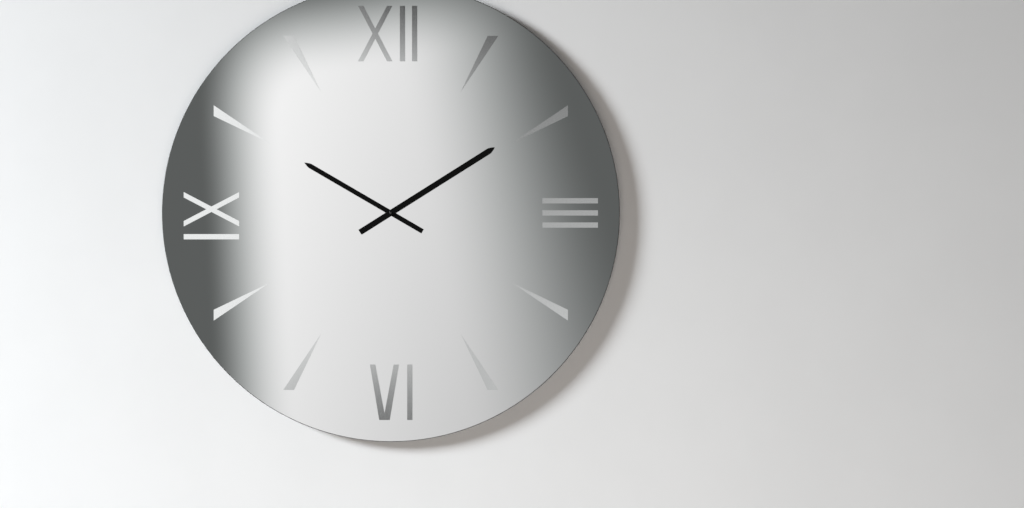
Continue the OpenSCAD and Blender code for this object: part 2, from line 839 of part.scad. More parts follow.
module seconds_wheel() color("ivory") stand() {
    pinion_back = third_back - pinion_over;
    pinion_front = third_front + pinion_over;
    wheel(seconds_teeth, fine_module, -pinion_shift(inter_pinion_teeth), 0,
        seconds_back, seconds_front, 1.6);
    gear(seconds_pinion_teeth, third_module, pinion_shift(seconds_pinion_teeth),
        seconds_pinion_phase, pinion_back, pinion_front);
    pin(pivot_r, in_back - pivot_depth + loose_fit, in_back + side_gap);
    pin(arbor_r, in_back + loose_fit, centre_front + seconds_reach);
}

module intermediate_wheel() color("ivory") stand() at(inter_at) {
    wheel(inter_teeth, fine_module, -pinion_shift(rotor_teeth), 0,
        inter_back, inter_front, 1.6);
    gear(inter_pinion_teeth, fine_module, pinion_shift(inter_pinion_teeth),
        inter_pinion_phase, seconds_back - pinion_over, seconds_front + pinion_over);
    pin(pivot_r, in_back - pivot_depth + loose_fit, plate_front - loose_fit);
    pin(arbor_r, in_back + loose_fit, plate_back - loose_fit);
}

// Plastic rotor arbor with its pinion, which carries the magnet
module rotor() color("ivory") stand() at(rotor_at) {
    gear(rotor_teeth, fine_module, pinion_shift(rotor_teeth), rotor_phase,
        inter_back - pinion_over, inter_front + pinion_over);
    pin(pivot_r, in_back - pivot_depth + loose_fit, plate_front - loose_fit);
    pin(arbor_r, in_back + loose_fit, plate_back - loose_fit);
}

module rotor_magnet() color([0.25, 0.25, 0.27]) stand() at(rotor_at)
    between(magnet_back, magnet_front) difference() {
        circle(magnet_r);
        circle(arbor_r + seat_fit);
    }

module motion_wheel() color("ivory") stand() at(motion_at) {
    pinion_front = hour_disc_front;
    wheel(motion_teeth, motion_module, 0, motion_phase, motion_back, motion_front, 3.4);
    gear(motion_pinion_teeth, hour_module, pinion_shift(motion_pinion_teeth), 0,
        motion_front, pinion_front);
    pin(motion_pivot_r, plate_back + loose_fit, in_front + pivot_depth - loose_fit);
    pin(knob_pivot_r, plate_front + loose_fit, motion_back);
}

// Knob on the back that sets the hands through the motion wheel
module setting_knob() color([0.75, 0.1, 0.08]) stand() at(knob_at) {
    knob_front = move_back - 0.2;
    knob_back = knob_front - knob_t;
    grip_r = 0.5;
    rim_w = 1.6;
    dish = 0.5;
    difference() {
        pin(knob_r, knob_back, knob_front);
        pin(knob_r - rim_w, knob_back - past, knob_back + dish);
        for (a = [0:18:342]) at(polar(knob_r + grip_r * 0.4, a))
            pin(grip_r, knob_back - past, knob_front + past);
    }
    pin(stem_r, knob_back + dish, motion_front);
    gear(knob_teeth, motion_module, 0, knob_phase, motion_back - pinion_over,
        motion_front + pinion_over);
    pin(knob_pivot_r, motion_front, in_front + pivot_depth - loose_fit);
}

// Plate between the motor side and the wheel side of the movement
module train_plate() color("wheat") stand() between(plate_back, plate_front) difference() {
    low = bay_wall_top + 0.6;
    high = pillar_top + pillar_r + 0.5;
    translate([0, (low + high) / 2]) rounded_plan(2 * case_in - 3, high - low, 2);
    at([0, 0]) circle(arbor_r + run_fit);
    at(knob_at) circle(stem_r + loose_fit);
    at(third_at) circle(pivot_r + run_fit);
    at(motion_at) circle(motion_pivot_r + run_fit);
    for (p = [inter_at, rotor_at]) at(p) circle(pivot_r + run_fit);
}

// Soft iron stator, a yoke whose round lobe closes on the rotor's magnet
module stator() color("slategray") stand() between(stator_back, stator_front) difference() {
    union() {
        at(rotor_at) circle(stator_lobe_r);
        translate([-leg_x, rotor_at[1] - stator_bar_w / 2]) square([2 * leg_x, stator_bar_w]);
        for (x = [-leg_x, leg_x]) translate([x - leg_w / 2, rotor_at[1] - stator_bar_w / 2])
            square([leg_w, coil_y + core_w / 2 - rotor_at[1] + stator_bar_w / 2]);
    }
    at(rotor_at) circle(stator_hole_r);
    for (x = [-leg_x, leg_x]) at([x, coil_y]) circle(motor_screw_r + loose_fit);
}

module coil_core() color("slategray") stand() between(stator_front, stator_front + core_t)
    difference() {
        length = 2 * leg_x + leg_w;
        translate([-length / 2, coil_y - core_w / 2]) square([length, core_w]);
        for (x = [-leg_x, leg_x]) at([x, coil_y]) circle(motor_screw_r + loose_fit);
    }

// Places a solid drawn round +Z along the coil instead
module along_coil() {
    translate([0, coil_y, core_z]) rotate([0, 90, 0]) children();
}

module coil_bobbin() color("darkgreen") stand() along_coil() difference() {
    union() {
        pin(bobbin_r, -bobbin_half, bobbin_half);
        for (s = [-1, 1]) translate([0, 0, s * (bobbin_half - flange_t / 2) - flange_t / 2])
            linear_extrude(flange_t) rounded_plan(flange_w, flange_w, 1.5);
    }
    cube([core_t + 2 * loose_fit, core_w + 2 * loose_fit, 2 * leg_x], center = true);
}

module coil_winding() color([0.72, 0.4, 0.2]) stand() along_coil() {
    half = bobbin_half - flange_t - loose_fit;
    crown = 0.15;
    inner = bobbin_r + seat_fit;
    rotate_extrude() polygon([[inner, -half], [winding_r - crown, -half],
        [winding_r, -half * 0.6], [winding_r, half * 0.6], [winding_r - crown, half],
        [inner, half]]);
}

module motor_screws() color("silver") stand() for (x = [-leg_x, leg_x]) at([x, coil_y])
    difference() {
        top = stator_front + core_t;
        union() {
            pin(motor_screw_r, stator_back - 2.6, top);
            pin(motor_head_r, top, top + motor_head_t);
        }
        between(top + motor_head_t / 2, top + motor_head_t + past)
            square([2.4 * motor_head_r, 0.5], center = true);
    }

// Circuit board threaded over the necks of the left pillars
module circuit_board() color([0.1, 0.35, 0.18]) stand() between(board_low, circuit_top)
    difference() {
        translate([circuit_x, bay_wall_top + 0.2])
            square([circuit_w, circuit_end - bay_wall_top - 0.2]);
        for (y = [pillar_low, pillar_top]) at([-pillar_x, y]) circle(pillar_neck_r + seat_fit);
    }

module quartz_crystal() color("lightgray") stand()
    translate([crystal_at[0], crystal_at[1] + crystal_len, circuit_top + crystal_r + seat_fit])
        rotate([90, 0, 0]) pin(crystal_r, 0, crystal_len);

// Blob of black resin over the bare chip
module control_chip() color([0.05, 0.05, 0.05]) stand() at(chip_at) {
    dome_r = (pow(chip_r, 2) + pow(chip_h, 2)) / 2 / chip_h;
    translate([0, 0, circuit_top]) intersection() {
        translate([0, 0, chip_h - dome_r]) rotate([90, 0, 0]) sphere(dome_r);
        cylinder(h = 2 * chip_h, r = chip_r + past);
    }
}

// Plan of a contact: an upright plate by the wall, folded out to the battery by fold
module contact_plate(fold) {
    half = 4.4;
    height = 9;
    translate([0, battery_y, battery_z - height / 2]) linear_extrude(height) {
        translate([0, -half]) square([strip_t, 2 * half]);
        for (s = [-1, 1]) polygon([[0, s * half * 0.6], [strip_t, s * half * 0.6],
            [fold, s * 0.6], [fold, 0], [fold - strip_t, 0], [fold - strip_t, s * 0.6]]);
    }
}

module positive_contact() color("gold") stand() {
    fold = contact_x - (battery_x + battery_len + stud_len) - seat_fit;
    strip_y = bay_wall_top + seat_fit;
    foot_x = -case_in + 3;
    translate([contact_x, 0, 0]) mirror([1, 0, 0]) contact_plate(fold);
    between(strip_z, strip_z + strip_w) {
        translate([contact_x - strip_t, battery_y]) square([strip_t, strip_y - battery_y]);
        translate([foot_x, strip_y]) square([contact_x - foot_x, strip_t]);
    }
    between(circuit_top, strip_z + strip_w) translate([foot_x, strip_y]) square([2, strip_t]);
    between(circuit_top, circuit_top + strip_t) translate([foot_x, strip_y]) square([2, 1.2]);
}

module negative_contact() color("gainsboro") stand() {
    fold = contact_x + battery_x - seat_fit;
    foot_y = bay_wall_top + 1.6;
    translate([-contact_x, 0, 0]) {
        contact_plate(fold);
        between(strip_z, strip_z + strip_w) translate([0, battery_y])
            square([strip_t, foot_y + 1.6 - battery_y]);
        between(circuit_top, strip_z + strip_w) translate([0, foot_y]) square([strip_t, 1.6]);
        between(circuit_top, circuit_top + strip_t) translate([0, foot_y]) square([1.4, 1.6]);
    }
}

// Standard penlight cell, its stud to the right
module battery() color([0.2, 0.3, 0.55]) stand()
    translate([battery_x, battery_y, battery_z]) rotate([0, 90, 0]) {
        bevel = 0.4;
        can_r = battery_r - 0.8;
        plate_r = can_r - 1.6;
        groove = 0.25;
        stud_end = battery_len + stud_len;
        rotate_extrude() polygon([[0, 0], [plate_r, 0], [plate_r, groove], [can_r, groove],
            [can_r, 0], [battery_r - bevel, 0], [battery_r, bevel],
            [battery_r, battery_len - bevel], [battery_r - bevel, battery_len],
            [can_r, battery_len], [can_r, battery_len - groove],
            [stud_r + groove, battery_len - groove], [stud_r, battery_len],
            [stud_r, stud_end - bevel], [stud_r - bevel, stud_end], [0, stud_end]]);
    }

wall_felt();
back_board();
keyhole_plates();
plate_screws();
bonding_tape();
mirror_dial();
numeral_xii();
numeral_iii();
numeral_vi();
numeral_ix();
hour_wedges();
gasket();
front_case();
back_case();
fixing_washer();
fixing_nut();
hour_wheel();
hour_hand();
hour_collet();
minute_arbor();
minute_hand();
cap_nut();
clutch_spring();
clutch_ring();
centre_wheel();
third_wheel();
seconds_wheel();
intermediate_wheel();
rotor();
rotor_magnet();
motion_wheel();
setting_knob();
train_plate();
stator();
coil_core();
coil_bobbin();
coil_winding();
motor_screws();
circuit_board();
quartz_crystal();
control_chip();
positive_contact();
negative_contact();
battery();
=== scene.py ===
"""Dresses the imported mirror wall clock: finishes, fine detail, camera, room and lamps."""
import math

import bmesh
import bpy
from mathutils import Matrix, Vector


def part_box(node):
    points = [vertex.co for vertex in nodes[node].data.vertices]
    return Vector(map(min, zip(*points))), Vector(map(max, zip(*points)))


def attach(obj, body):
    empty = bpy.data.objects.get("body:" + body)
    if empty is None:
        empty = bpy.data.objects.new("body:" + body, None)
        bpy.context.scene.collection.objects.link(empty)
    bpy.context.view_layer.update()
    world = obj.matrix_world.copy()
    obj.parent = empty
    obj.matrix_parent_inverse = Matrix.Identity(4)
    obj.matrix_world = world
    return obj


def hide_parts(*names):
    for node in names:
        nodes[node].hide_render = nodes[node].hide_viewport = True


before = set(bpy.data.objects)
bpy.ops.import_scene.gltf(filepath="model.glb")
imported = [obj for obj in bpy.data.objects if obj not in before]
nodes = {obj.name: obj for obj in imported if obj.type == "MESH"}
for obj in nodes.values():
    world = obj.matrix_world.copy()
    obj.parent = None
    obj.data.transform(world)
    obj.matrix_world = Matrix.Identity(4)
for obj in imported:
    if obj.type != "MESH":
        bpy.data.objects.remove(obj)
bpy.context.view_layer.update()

# The mirror: a round sheet of float glass, silvered behind and sealed with grey paint.
# Its rim is ground to a fine matt arris on both edges, and a hole is drilled for the shaft.
# Every finish starts from one shader. Sizes of patterns and reliefs are in millimetres.
SILVER, SILVER_ROUGH = (0.777, 0.808, 0.798), (0.012, 0.028)
GROUND_GLASS, GROUND_LIGHTER, GROUND_ROUGH = (0.020, 0.022, 0.021), 1.5, 0.38
BACKING_PAINT, BACKING_SPECK, BACKING_ROUGH = (0.115, 0.12, 0.125), (0.20, 0.205, 0.21), 0.55
FLAT_FROM, FLAT_FULL = 0.95, 0.99
SPECKS = dict(size=0.9, detail=3, low=0.52, high=0.66)
WIPES = dict(size=70, detail=3, stretch=(1, 1, 0.4))
RIM_GRIT, PAINT_LUMPS = dict(size=0.22), dict(size=2.5, detail=3)
GLASS_RELIEF = 0.03
MM_PER_METRE = 1000


def start_finish(name, colour, roughness, metallic=0.0, **constants):
    """A new finish of one shader; constants are given by socket name, with _ for a space."""
    made = bpy.data.materials.new(name)
    made.use_nodes = True
    made.diffuse_color = (*colour, 1)
    shader = made.node_tree.nodes["Principled BSDF"].inputs
    shader["Base Color"].default_value = (*colour, 1)
    shader["Roughness"].default_value = roughness
    shader["Metallic"].default_value = metallic
    for socket, value in constants.items():
        shader[socket.replace("_", " ")].default_value = value
    return made


def add(made, kind, inputs, **options):
    """Adds a node; inputs are numbers, vectors or other nodes' outputs."""
    node = made.node_tree.nodes.new(kind)
    for option, value in options.items():
        setattr(node, option, value)
    for socket, value in inputs.items():
        if isinstance(value, bpy.types.NodeSocket):
            made.node_tree.links.new(value, node.inputs[socket])
        else:
            node.inputs[socket].default_value = value
    return node


def feed(made, socket, value):
    """Leads a pattern into the finish's shader."""
    shader = made.node_tree.nodes["Principled BSDF"]
    made.node_tree.links.new(value, shader.inputs[socket])


def spot(made, stretch=(1, 1, 1), centre=(0, 0, 0)):
    """A point on the piece in millimetres from centre, then stretched along X, Y and Z."""
    place = add(made, "ShaderNodeTexCoord", {}).outputs["Object"]
    return add(made, "ShaderNodeMapping", {
        "Vector": place, "Scale": [MM_PER_METRE * s for s in stretch],
        "Location": [-c * s for c, s in zip(centre, stretch)]}).outputs[0]


def facing(made, axis):
    """How squarely the surface faces along one axis, from -1 to 1."""
    normal = add(made, "ShaderNodeTexCoord", {}).outputs["Normal"]
    return add(made, "ShaderNodeSeparateXYZ", {0: normal}).outputs[axis]


def soft_step(made, value, low, high):
    """0 on the low side and 1 on the high side, with a smooth change between them."""
    return add(made, "ShaderNodeMapRange", {"Value": value, "From Min": low, "From Max": high},
               interpolation_type="SMOOTHSTEP").outputs["Result"]


def toned(colour, factor):
    """The same colour, lighter or darker."""
    return [factor * c for c in colour]


def either(made, share, first, second):
    """One colour or the other, by share."""
    inputs = {0: share}
    for socket, colour in ((6, first), (7, second)):
        inputs[socket] = colour if isinstance(colour, bpy.types.NodeSocket) else (*colour, 1)
    return add(made, "ShaderNodeMix", inputs, data_type="RGBA").outputs[2]


def level(made, share, first, second):
    """One number or the other, by share."""
    return add(made, "ShaderNodeMix", {0: share, 2: first, 3: second}).outputs[0]


def mottle(made, size, detail=2.0, stretch=(1, 1, 1), low=0.35, high=0.65):
    """Soft spots about size millimetres across, from 0 to 1."""
    cloud = add(made, "ShaderNodeTexNoise", {
        "Vector": spot(made, stretch), "Scale": 1 / size, "Detail": detail, "Roughness": 0.6})
    return soft_step(made, cloud.outputs["Fac"], low, high)


def raise_by(made, height, depth):
    """Lifts the surface by depth millimetres where height is 1."""
    feed(made, "Normal", add(made, "ShaderNodeBump", {
        "Height": height, "Distance": depth / MM_PER_METRE}).outputs[0])


def wear(finish, *pieces):
    """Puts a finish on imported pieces."""
    for piece in pieces:
        nodes[piece].data.materials.clear()
        nodes[piece].data.materials.append(finish)


glass = start_finish("silvered_glass", SILVER, roughness=0.02, metallic=1.0, IOR=1.52)
is_front = soft_step(glass, facing(glass, "Y"), -FLAT_FROM, -FLAT_FULL)
is_back = soft_step(glass, facing(glass, "Y"), FLAT_FROM, FLAT_FULL)
grit = mottle(glass, **RIM_GRIT)
ground = either(glass, grit, GROUND_GLASS, toned(GROUND_GLASS, GROUND_LIGHTER))
paint = either(glass, mottle(glass, **SPECKS), BACKING_PAINT, BACKING_SPECK)
silvered = either(glass, is_front, ground, SILVER)
feed(glass, "Base Color", either(glass, is_back, silvered, paint))
feed(glass, "Metallic", is_front)
wiped = level(glass, mottle(glass, **WIPES), *SILVER_ROUGH)
dull = level(glass, is_back, GROUND_ROUGH, BACKING_ROUGH)
feed(glass, "Roughness", level(glass, is_front, dull, wiped))
lumps = level(glass, is_back, grit, mottle(glass, **PAINT_LUMPS))
raise_by(glass, level(glass, is_front, lumps, 0.0), GLASS_RELIEF)
wear(glass, "mirror_dial")

# The numerals and wedges: sheet metal with a satin face, cut out by jet and bonded to the glass.
# The face has a very fine upright grain, and the cut edges are duller than the face.
SATIN, SATIN_DARKER, SATIN_ROUGH = (0.745, 0.757, 0.754), 0.96, (0.12, 0.16)
CUT_EDGE, CUT_ROUGH, CUT_RELIEF = (0.48, 0.48, 0.475), 0.5, 0.01
FACE_FROM, FACE_FULL = -0.9, -0.98
SATIN_GRAIN = dict(size=0.3, detail=3, stretch=(1, 1, 0.03))
CUT_RIPPLE = dict(size=0.25, stretch=(1, 0.1, 1))
MARKS = ("numeral_xii", "numeral_iii", "numeral_vi", "numeral_ix", "hour_wedges")

satin = start_finish("satin_metal", SATIN, roughness=0.14, metallic=1.0)
grain = mottle(satin, **SATIN_GRAIN)
is_face = soft_step(satin, facing(satin, "Y"), FACE_FROM, FACE_FULL)
brushed = either(satin, grain, SATIN, toned(SATIN, SATIN_DARKER))
feed(satin, "Base Color", either(satin, is_face, CUT_EDGE, brushed))
feed(satin, "Roughness", level(satin, is_face, CUT_ROUGH, level(satin, grain, *SATIN_ROUGH)))
raise_by(satin, level(satin, is_face, mottle(satin, **CUT_RIPPLE), 0.0), CUT_RELIEF)
wear(satin, *MARKS)

# The back board: round fibreboard dyed through, its rear face lacquered matt black.
# The routed pockets, the opening and the edge show the cut fibres under a thin coat.
LACQUER, LACQUER_LIGHTER, LACQUER_ROUGH = (0.040, 0.040, 0.043), 1.25, (0.44, 0.54)
FIBRE, FIBRE_FLECK, FIBRE_ROUGH = (0.058, 0.055, 0.053), (0.115, 0.105, 0.095), (0.72, 0.85)
REAR_FACE = (-2.2, -2.05)
FLECKS = dict(size=0.7, detail=4, low=0.5, high=0.72)
LACQUER_CLOUDS, LACQUER_SHINE = dict(size=45, detail=3), dict(size=18)
FIBRE_FUZZ, LACQUER_STIPPLE = dict(size=0.35, detail=3), dict(size=1.6, detail=1)
BOARD_RELIEF = 0.05


def along(made, axis, centre=(0, 0, 0)):
    """How far a point lies along one axis, in millimetres from centre."""
    return add(made, "ShaderNodeSeparateXYZ", {0: spot(made, centre=centre)}).outputs[axis]


board = start_finish("black_fibreboard", LACQUER, roughness=0.5)
flecks = mottle(board, **FLECKS)
is_rear = soft_step(board, along(board, "Y"), *REAR_FACE)
cut = either(board, flecks, FIBRE, FIBRE_FLECK)
coated = either(board, mottle(board, **LACQUER_CLOUDS), LACQUER, toned(LACQUER, LACQUER_LIGHTER))
feed(board, "Base Color", either(board, is_rear, cut, coated))
feed(board, "Roughness", level(board, is_rear, level(board, flecks, *FIBRE_ROUGH),
                               level(board, mottle(board, **LACQUER_SHINE), *LACQUER_ROUGH)))
fuzz, stipple = mottle(board, **FIBRE_FUZZ), mottle(board, **LACQUER_STIPPLE)
raise_by(board, level(board, is_rear, fuzz, stipple), BOARD_RELIEF)
wear(board, "back_board")

# The bonding tape: strips of pale closed-cell foam with glue on both faces, cut from a roll.
# They hold the glass on the board, and their cut edges show the cells.
FOAM, PORE_DARKER, PORE_DEPTH = (0.75, 0.75, 0.72), 0.55, 0.12
CELLS_PER_MM, PORE_WALL = 2.8, (0.1, 0.45)

foam = start_finish("foam_tape", FOAM, roughness=0.85)
cells = add(foam, "ShaderNodeTexVoronoi", {"Vector": spot(foam), "Scale": CELLS_PER_MM})
pores = soft_step(foam, cells.outputs["Distance"], *PORE_WALL)
feed(foam, "Base Color", either(foam, pores, toned(FOAM, PORE_DARKER), FOAM))
raise_by(foam, pores, PORE_DEPTH)
wear(foam, "bonding_tape")

# The keyhole plates: blanked steel with bright zinc, let in flush, with two wood screws each.
# The sheet keeps a faint rolling grain and a cloudy blue passivation, rubbed bright by the slot.
ZINC, ZINC_CLOUD, ZINC_ROUGH = (0.66, 0.67, 0.68), (0.60, 0.63, 0.68), (0.26, 0.38)
RUB_LIGHTER, RUB_ROUGH, RUB_TO_FROM, RUB_LONG = 1.12, 0.18, (5.5, 3.5), 0.4
SLOT_AT = (150, 0, 225)
ROLLED, ZINC_CLOUDS = dict(size=0.35, detail=3, stretch=(1, 1, 0.05)), dict(size=9, detail=3)
ZINC_RELIEF = 0.004


def sum_up(made, kind, first, second=0.0, third=0.0):
    """Works out one sum on up to three numbers or patterns."""
    return add(made, "ShaderNodeMath", {0: first, 1: second, 2: third}, operation=kind).outputs[0]


def length_of(made, way):
    """How long a vector is."""
    return add(made, "ShaderNodeVectorMath", {0: way}, operation="LENGTH").outputs[1]


zinc = start_finish("bright_zinc", ZINC, roughness=0.3, metallic=1.0)
rolled = mottle(zinc, **ROLLED)
beside = sum_up(zinc, "SUBTRACT", sum_up(zinc, "ABSOLUTE", along(zinc, "X")), SLOT_AT[0])
above = sum_up(zinc, "MULTIPLY", along(zinc, "Z", SLOT_AT), RUB_LONG)
off_slot = add(zinc, "ShaderNodeCombineXYZ", {0: beside, 2: above}).outputs[0]
rubbed = soft_step(zinc, length_of(zinc, off_slot), *RUB_TO_FROM)
passivated = either(zinc, mottle(zinc, **ZINC_CLOUDS), ZINC, ZINC_CLOUD)
feed(zinc, "Base Color", either(zinc, rubbed, passivated, toned(ZINC, RUB_LIGHTER)))
feed(zinc, "Roughness", level(zinc, rubbed, level(zinc, rolled, *ZINC_ROUGH), RUB_ROUGH))
raise_by(zinc, rolled, ZINC_RELIEF)
wear(zinc, "keyhole_plates")

# The wood screws: four countersunk steel screws with a cross recess and a rolled thread.
# They hold the keyhole plates, and are copies of one screw at the corners of a grid.
SCREW_ZINC, SCREW_CLOUD, SCREW_ROUGH = (0.50, 0.515, 0.54), (0.46, 0.475, 0.505), (0.26, 0.36)
# The dark recess colour is painted shade for the inside of the cross recess.
RECESS_SHADE, RECESS_FROM_TO = (0.10, 0.10, 0.105), (-2.25, -2.6)
SCREW_CLOUDS, SCREW_SHINE, SCREW_PITS = dict(size=2.4), dict(size=0.5), dict(size=0.4)
SCREW_RELIEF = 0.002
SCREW_GRID, SCREW_MIDDLE_UP, SCREW_FACE = (0.300, 0.036), 0.225, -0.002
SCREW = {"Head Radius": 0.0032, "Shank Radius": 0.0016, "Core Radius": 0.00125,
         "Head Depth": 0.0016, "Length": 0.012, "Pitch": 0.0014, "Recess": 0.0009}
TIP_SHARE, TIP_R, RECESS_REACH, RECESS_DEPTH = 0.2, 0.0002, 1.15, 1.2
HEAD_SIDES, CORE_SIDES, TURN_STEPS, RIDGE_SIDES = 32, 24, 20, 4


def put_in(name, data):
    """A new object in the scene."""
    made = bpy.data.objects.new(name, data)
    bpy.context.scene.collection.objects.link(made)
    return made


class Tree:
    """A node tree for geometry, with named sizes as its inputs."""

    def __init__(self, name, sizes):
        self.group = bpy.data.node_groups.new(name, "GeometryNodeTree")
        self.sockets = {}
        ends = self.group.interface
        for size in sizes:
            made = ends.new_socket(size, in_out="INPUT", socket_type="NodeSocketFloat")
            self.sockets[size] = made.identifier
        ends.new_socket("Geometry", in_out="OUTPUT", socket_type="NodeSocketGeometry")
        self.given = self.group.nodes.new("NodeGroupInput").outputs
        self.sizes = sizes

    def add(self, kind, inputs, **options):
        """Adds a node; an input is a value, another node's output or a list of outputs."""
        node = self.group.nodes.new(kind)
        for option, value in options.items():
            setattr(node, option, value)
        for socket, value in inputs.items():
            if isinstance(value, list):
                for one in value:
                    self.group.links.new(one, node.inputs[socket])
            elif isinstance(value, bpy.types.NodeSocket):
                self.group.links.new(value, node.inputs[socket])
            else:
                node.inputs[socket].default_value = value
        return node.outputs[0]

    def work(self, kind, first, second=0.0):
        """Works out one sum."""
        return self.add("ShaderNodeMath", {0: first, 1: second}, operation=kind)

    def vector(self, x=0.0, y=0.0, z=0.0):
        """Three numbers as one place or size."""
        return self.add("ShaderNodeCombineXYZ", {0: x, 1: y, 2: z})

    def lift(self, geometry, up):
        """Moves a shape along Z."""
        return self.add("GeometryNodeTransform", {0: geometry, "Translation": self.vector(z=up)})

    def finish(self, geometry, material, name):
        """Ends the tree, runs it once and returns the result as a plain mesh object."""
        whole = self.add("GeometryNodeRealizeInstances", {0: geometry})
        dressed = self.add("GeometryNodeSetMaterial", {0: whole, "Material": material})
        end = self.group.nodes.new("NodeGroupOutput")
        self.group.links.new(dressed, end.inputs[0])
        holder = put_in(name + "_holder", bpy.data.meshes.new(name + "_holder"))
        modifier = holder.modifiers.new(name, "NODES")
        modifier.node_group = self.group
        for size, value in self.sizes.items():
            modifier[self.sockets[size]] = value
        evaluated = holder.evaluated_get(bpy.context.evaluated_depsgraph_get())
        mesh = bpy.data.meshes.new_from_object(evaluated)
        mesh.name = name
        holder.modifiers.remove(modifier)
        bpy.data.objects.remove(holder)
        return put_in(name, mesh)


screw_zinc = start_finish("screw_zinc", SCREW_ZINC, roughness=0.3, metallic=1.0)
# Painted shade: the cross recess and all that lies deeper than the head's face are coloured darker
# than the zinc.
recess_shade = soft_step(screw_zinc, along(screw_zinc, "Y"), *RECESS_FROM_TO)
plated = either(screw_zinc, mottle(screw_zinc, **SCREW_CLOUDS), SCREW_ZINC, SCREW_CLOUD)
feed(screw_zinc, "Base Color", either(screw_zinc, recess_shade, plated, RECESS_SHADE))
feed(screw_zinc, "Roughness", level(screw_zinc, mottle(screw_zinc, **SCREW_SHINE), *SCREW_ROUGH))
raise_by(screw_zinc, mottle(screw_zinc, **SCREW_PITS), SCREW_RELIEF)

tree = Tree("wood_screws", SCREW)
given = tree.given
tip = tree.work("MULTIPLY", given["Length"], TIP_SHARE)
shank_len = tree.work("SUBTRACT", tree.work("SUBTRACT", given["Length"], tip), given["Head Depth"])
head = tree.add("GeometryNodeMeshCone", {
    "Vertices": HEAD_SIDES, "Radius Top": given["Shank Radius"],
    "Radius Bottom": given["Head Radius"], "Depth": given["Head Depth"]})
reach = tree.work("MULTIPLY", given["Head Radius"], RECESS_REACH)
deep = tree.work("MULTIPLY", given["Head Depth"], RECESS_DEPTH)
cross = [tree.add("GeometryNodeMeshCube", {"Size": tree.vector(*arm, deep)})
         for arm in ((given["Recess"], reach), (reach, given["Recess"]))]
head = tree.add("GeometryNodeMeshBoolean", {"Mesh 1": head, "Mesh 2": cross},
                operation="DIFFERENCE", solver="EXACT")
core = tree.add("GeometryNodeMeshCylinder", {
    "Vertices": CORE_SIDES, "Radius": given["Core Radius"], "Depth": shank_len})
core = tree.lift(core, tree.work(
    "ADD", given["Head Depth"], tree.work("MULTIPLY", shank_len, 0.5)))
point = tree.add("GeometryNodeMeshCone", {
    "Vertices": CORE_SIDES, "Radius Top": TIP_R, "Radius Bottom": given["Core Radius"],
    "Depth": tip})
point = tree.lift(point, tree.work("ADD", given["Head Depth"], shank_len))
helix = tree.add("GeometryNodeCurveSpiral", {
    "Resolution": TURN_STEPS, "Rotations": tree.work("DIVIDE", shank_len, given["Pitch"]),
    "Start Radius": given["Core Radius"], "End Radius": given["Core Radius"],
    "Height": shank_len})
ridge = tree.add("GeometryNodeCurvePrimitiveCircle", {
    "Resolution": RIDGE_SIDES,
    "Radius": tree.work("SUBTRACT", given["Shank Radius"], given["Core Radius"])})
thread = tree.add("GeometryNodeCurveToMesh", {0: helix, "Profile Curve": ridge, "Fill Caps": True})
thread = tree.lift(thread, given["Head Depth"])
screw = tree.add("GeometryNodeJoinGeometry", {0: [head, core, point, thread]})
corners = tree.add("GeometryNodeMeshGrid", {
    "Size X": SCREW_GRID[0], "Size Y": SCREW_GRID[1], "Vertices X": 2, "Vertices Y": 2})
screws = tree.add("GeometryNodeInstanceOnPoints", {"Points": corners, "Instance": screw})
screws = tree.add("GeometryNodeTransform", {
    0: screws, "Rotation": (math.pi / 2, 0, 0), "Translation": (0, SCREW_FACE, SCREW_MIDDLE_UP)})
plate_screws = tree.finish(screws, screw_zinc, "cross_recess_wood_screws")
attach(plate_screws, "body")
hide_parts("plate_screws")

# The felt: a ring of pressed wool felt, glued to the board so that the clock doesn't mark the wall.
# Short crossing fibres in two greys show on its face.
FELT, FELT_DARKER, FELT_FLECK = (0.105, 0.105, 0.11), 0.8, (0.235, 0.235, 0.24)
FELT_FIBRES, FELT_LAYS = dict(size=0.5, detail=3, low=0.52, high=0.7), ((0.25, 1, 1), (1, 1, 0.25))
FELT_CLOUDS, FELT_RELIEF = dict(size=14), 0.2

felt = start_finish("wool_felt", FELT, roughness=0.95, Sheen_Weight=0.35, Sheen_Roughness=0.5)
crossing = sum_up(felt, "MAXIMUM", *(
    mottle(felt, stretch=lay, **FELT_FIBRES) for lay in FELT_LAYS))
greys = either(felt, mottle(felt, **FELT_CLOUDS), FELT, toned(FELT, FELT_DARKER))
feed(felt, "Base Color", either(felt, crossing, greys, FELT_FLECK))
raise_by(felt, crossing, FELT_RELIEF)
wear(felt, "wall_felt")

# The movement's case: two halves moulded in black plastic, latched together on both sides.
# The outside has the fine spark texture of the mould, and light wear shows on its corners.
CASE, CASE_LIGHTER, CASE_ROUGH = (0.045, 0.045, 0.048), 1.2, (0.46, 0.6)
CASE_RUB, CASE_RUB_ROUGH, CASE_EDGE = (0.085, 0.085, 0.088), 0.35, (26.6, 28.1)
SPARK, SPARK_RELIEF = dict(size=0.28), 0.02
RUB_PATCHES = dict(size=2.2, detail=4, low=0.5, high=0.7)

case = start_finish("black_case_plastic", CASE, roughness=0.5)
spark = mottle(case, **SPARK)
edge_at = sum_up(case, "MAXIMUM", *(
    sum_up(case, "ABSOLUTE", along(case, axis)) for axis in "XZ"))
rub = sum_up(case, "MULTIPLY", soft_step(case, edge_at, *CASE_EDGE), mottle(case, **RUB_PATCHES))
sparked = either(case, spark, CASE, toned(CASE, CASE_LIGHTER))
feed(case, "Base Color", either(case, rub, sparked, CASE_RUB))
feed(case, "Roughness", level(case, rub, level(case, spark, *CASE_ROUGH), CASE_RUB_ROUGH))
raise_by(case, spark, SPARK_RELIEF)
wear(case, "back_case", "front_case")

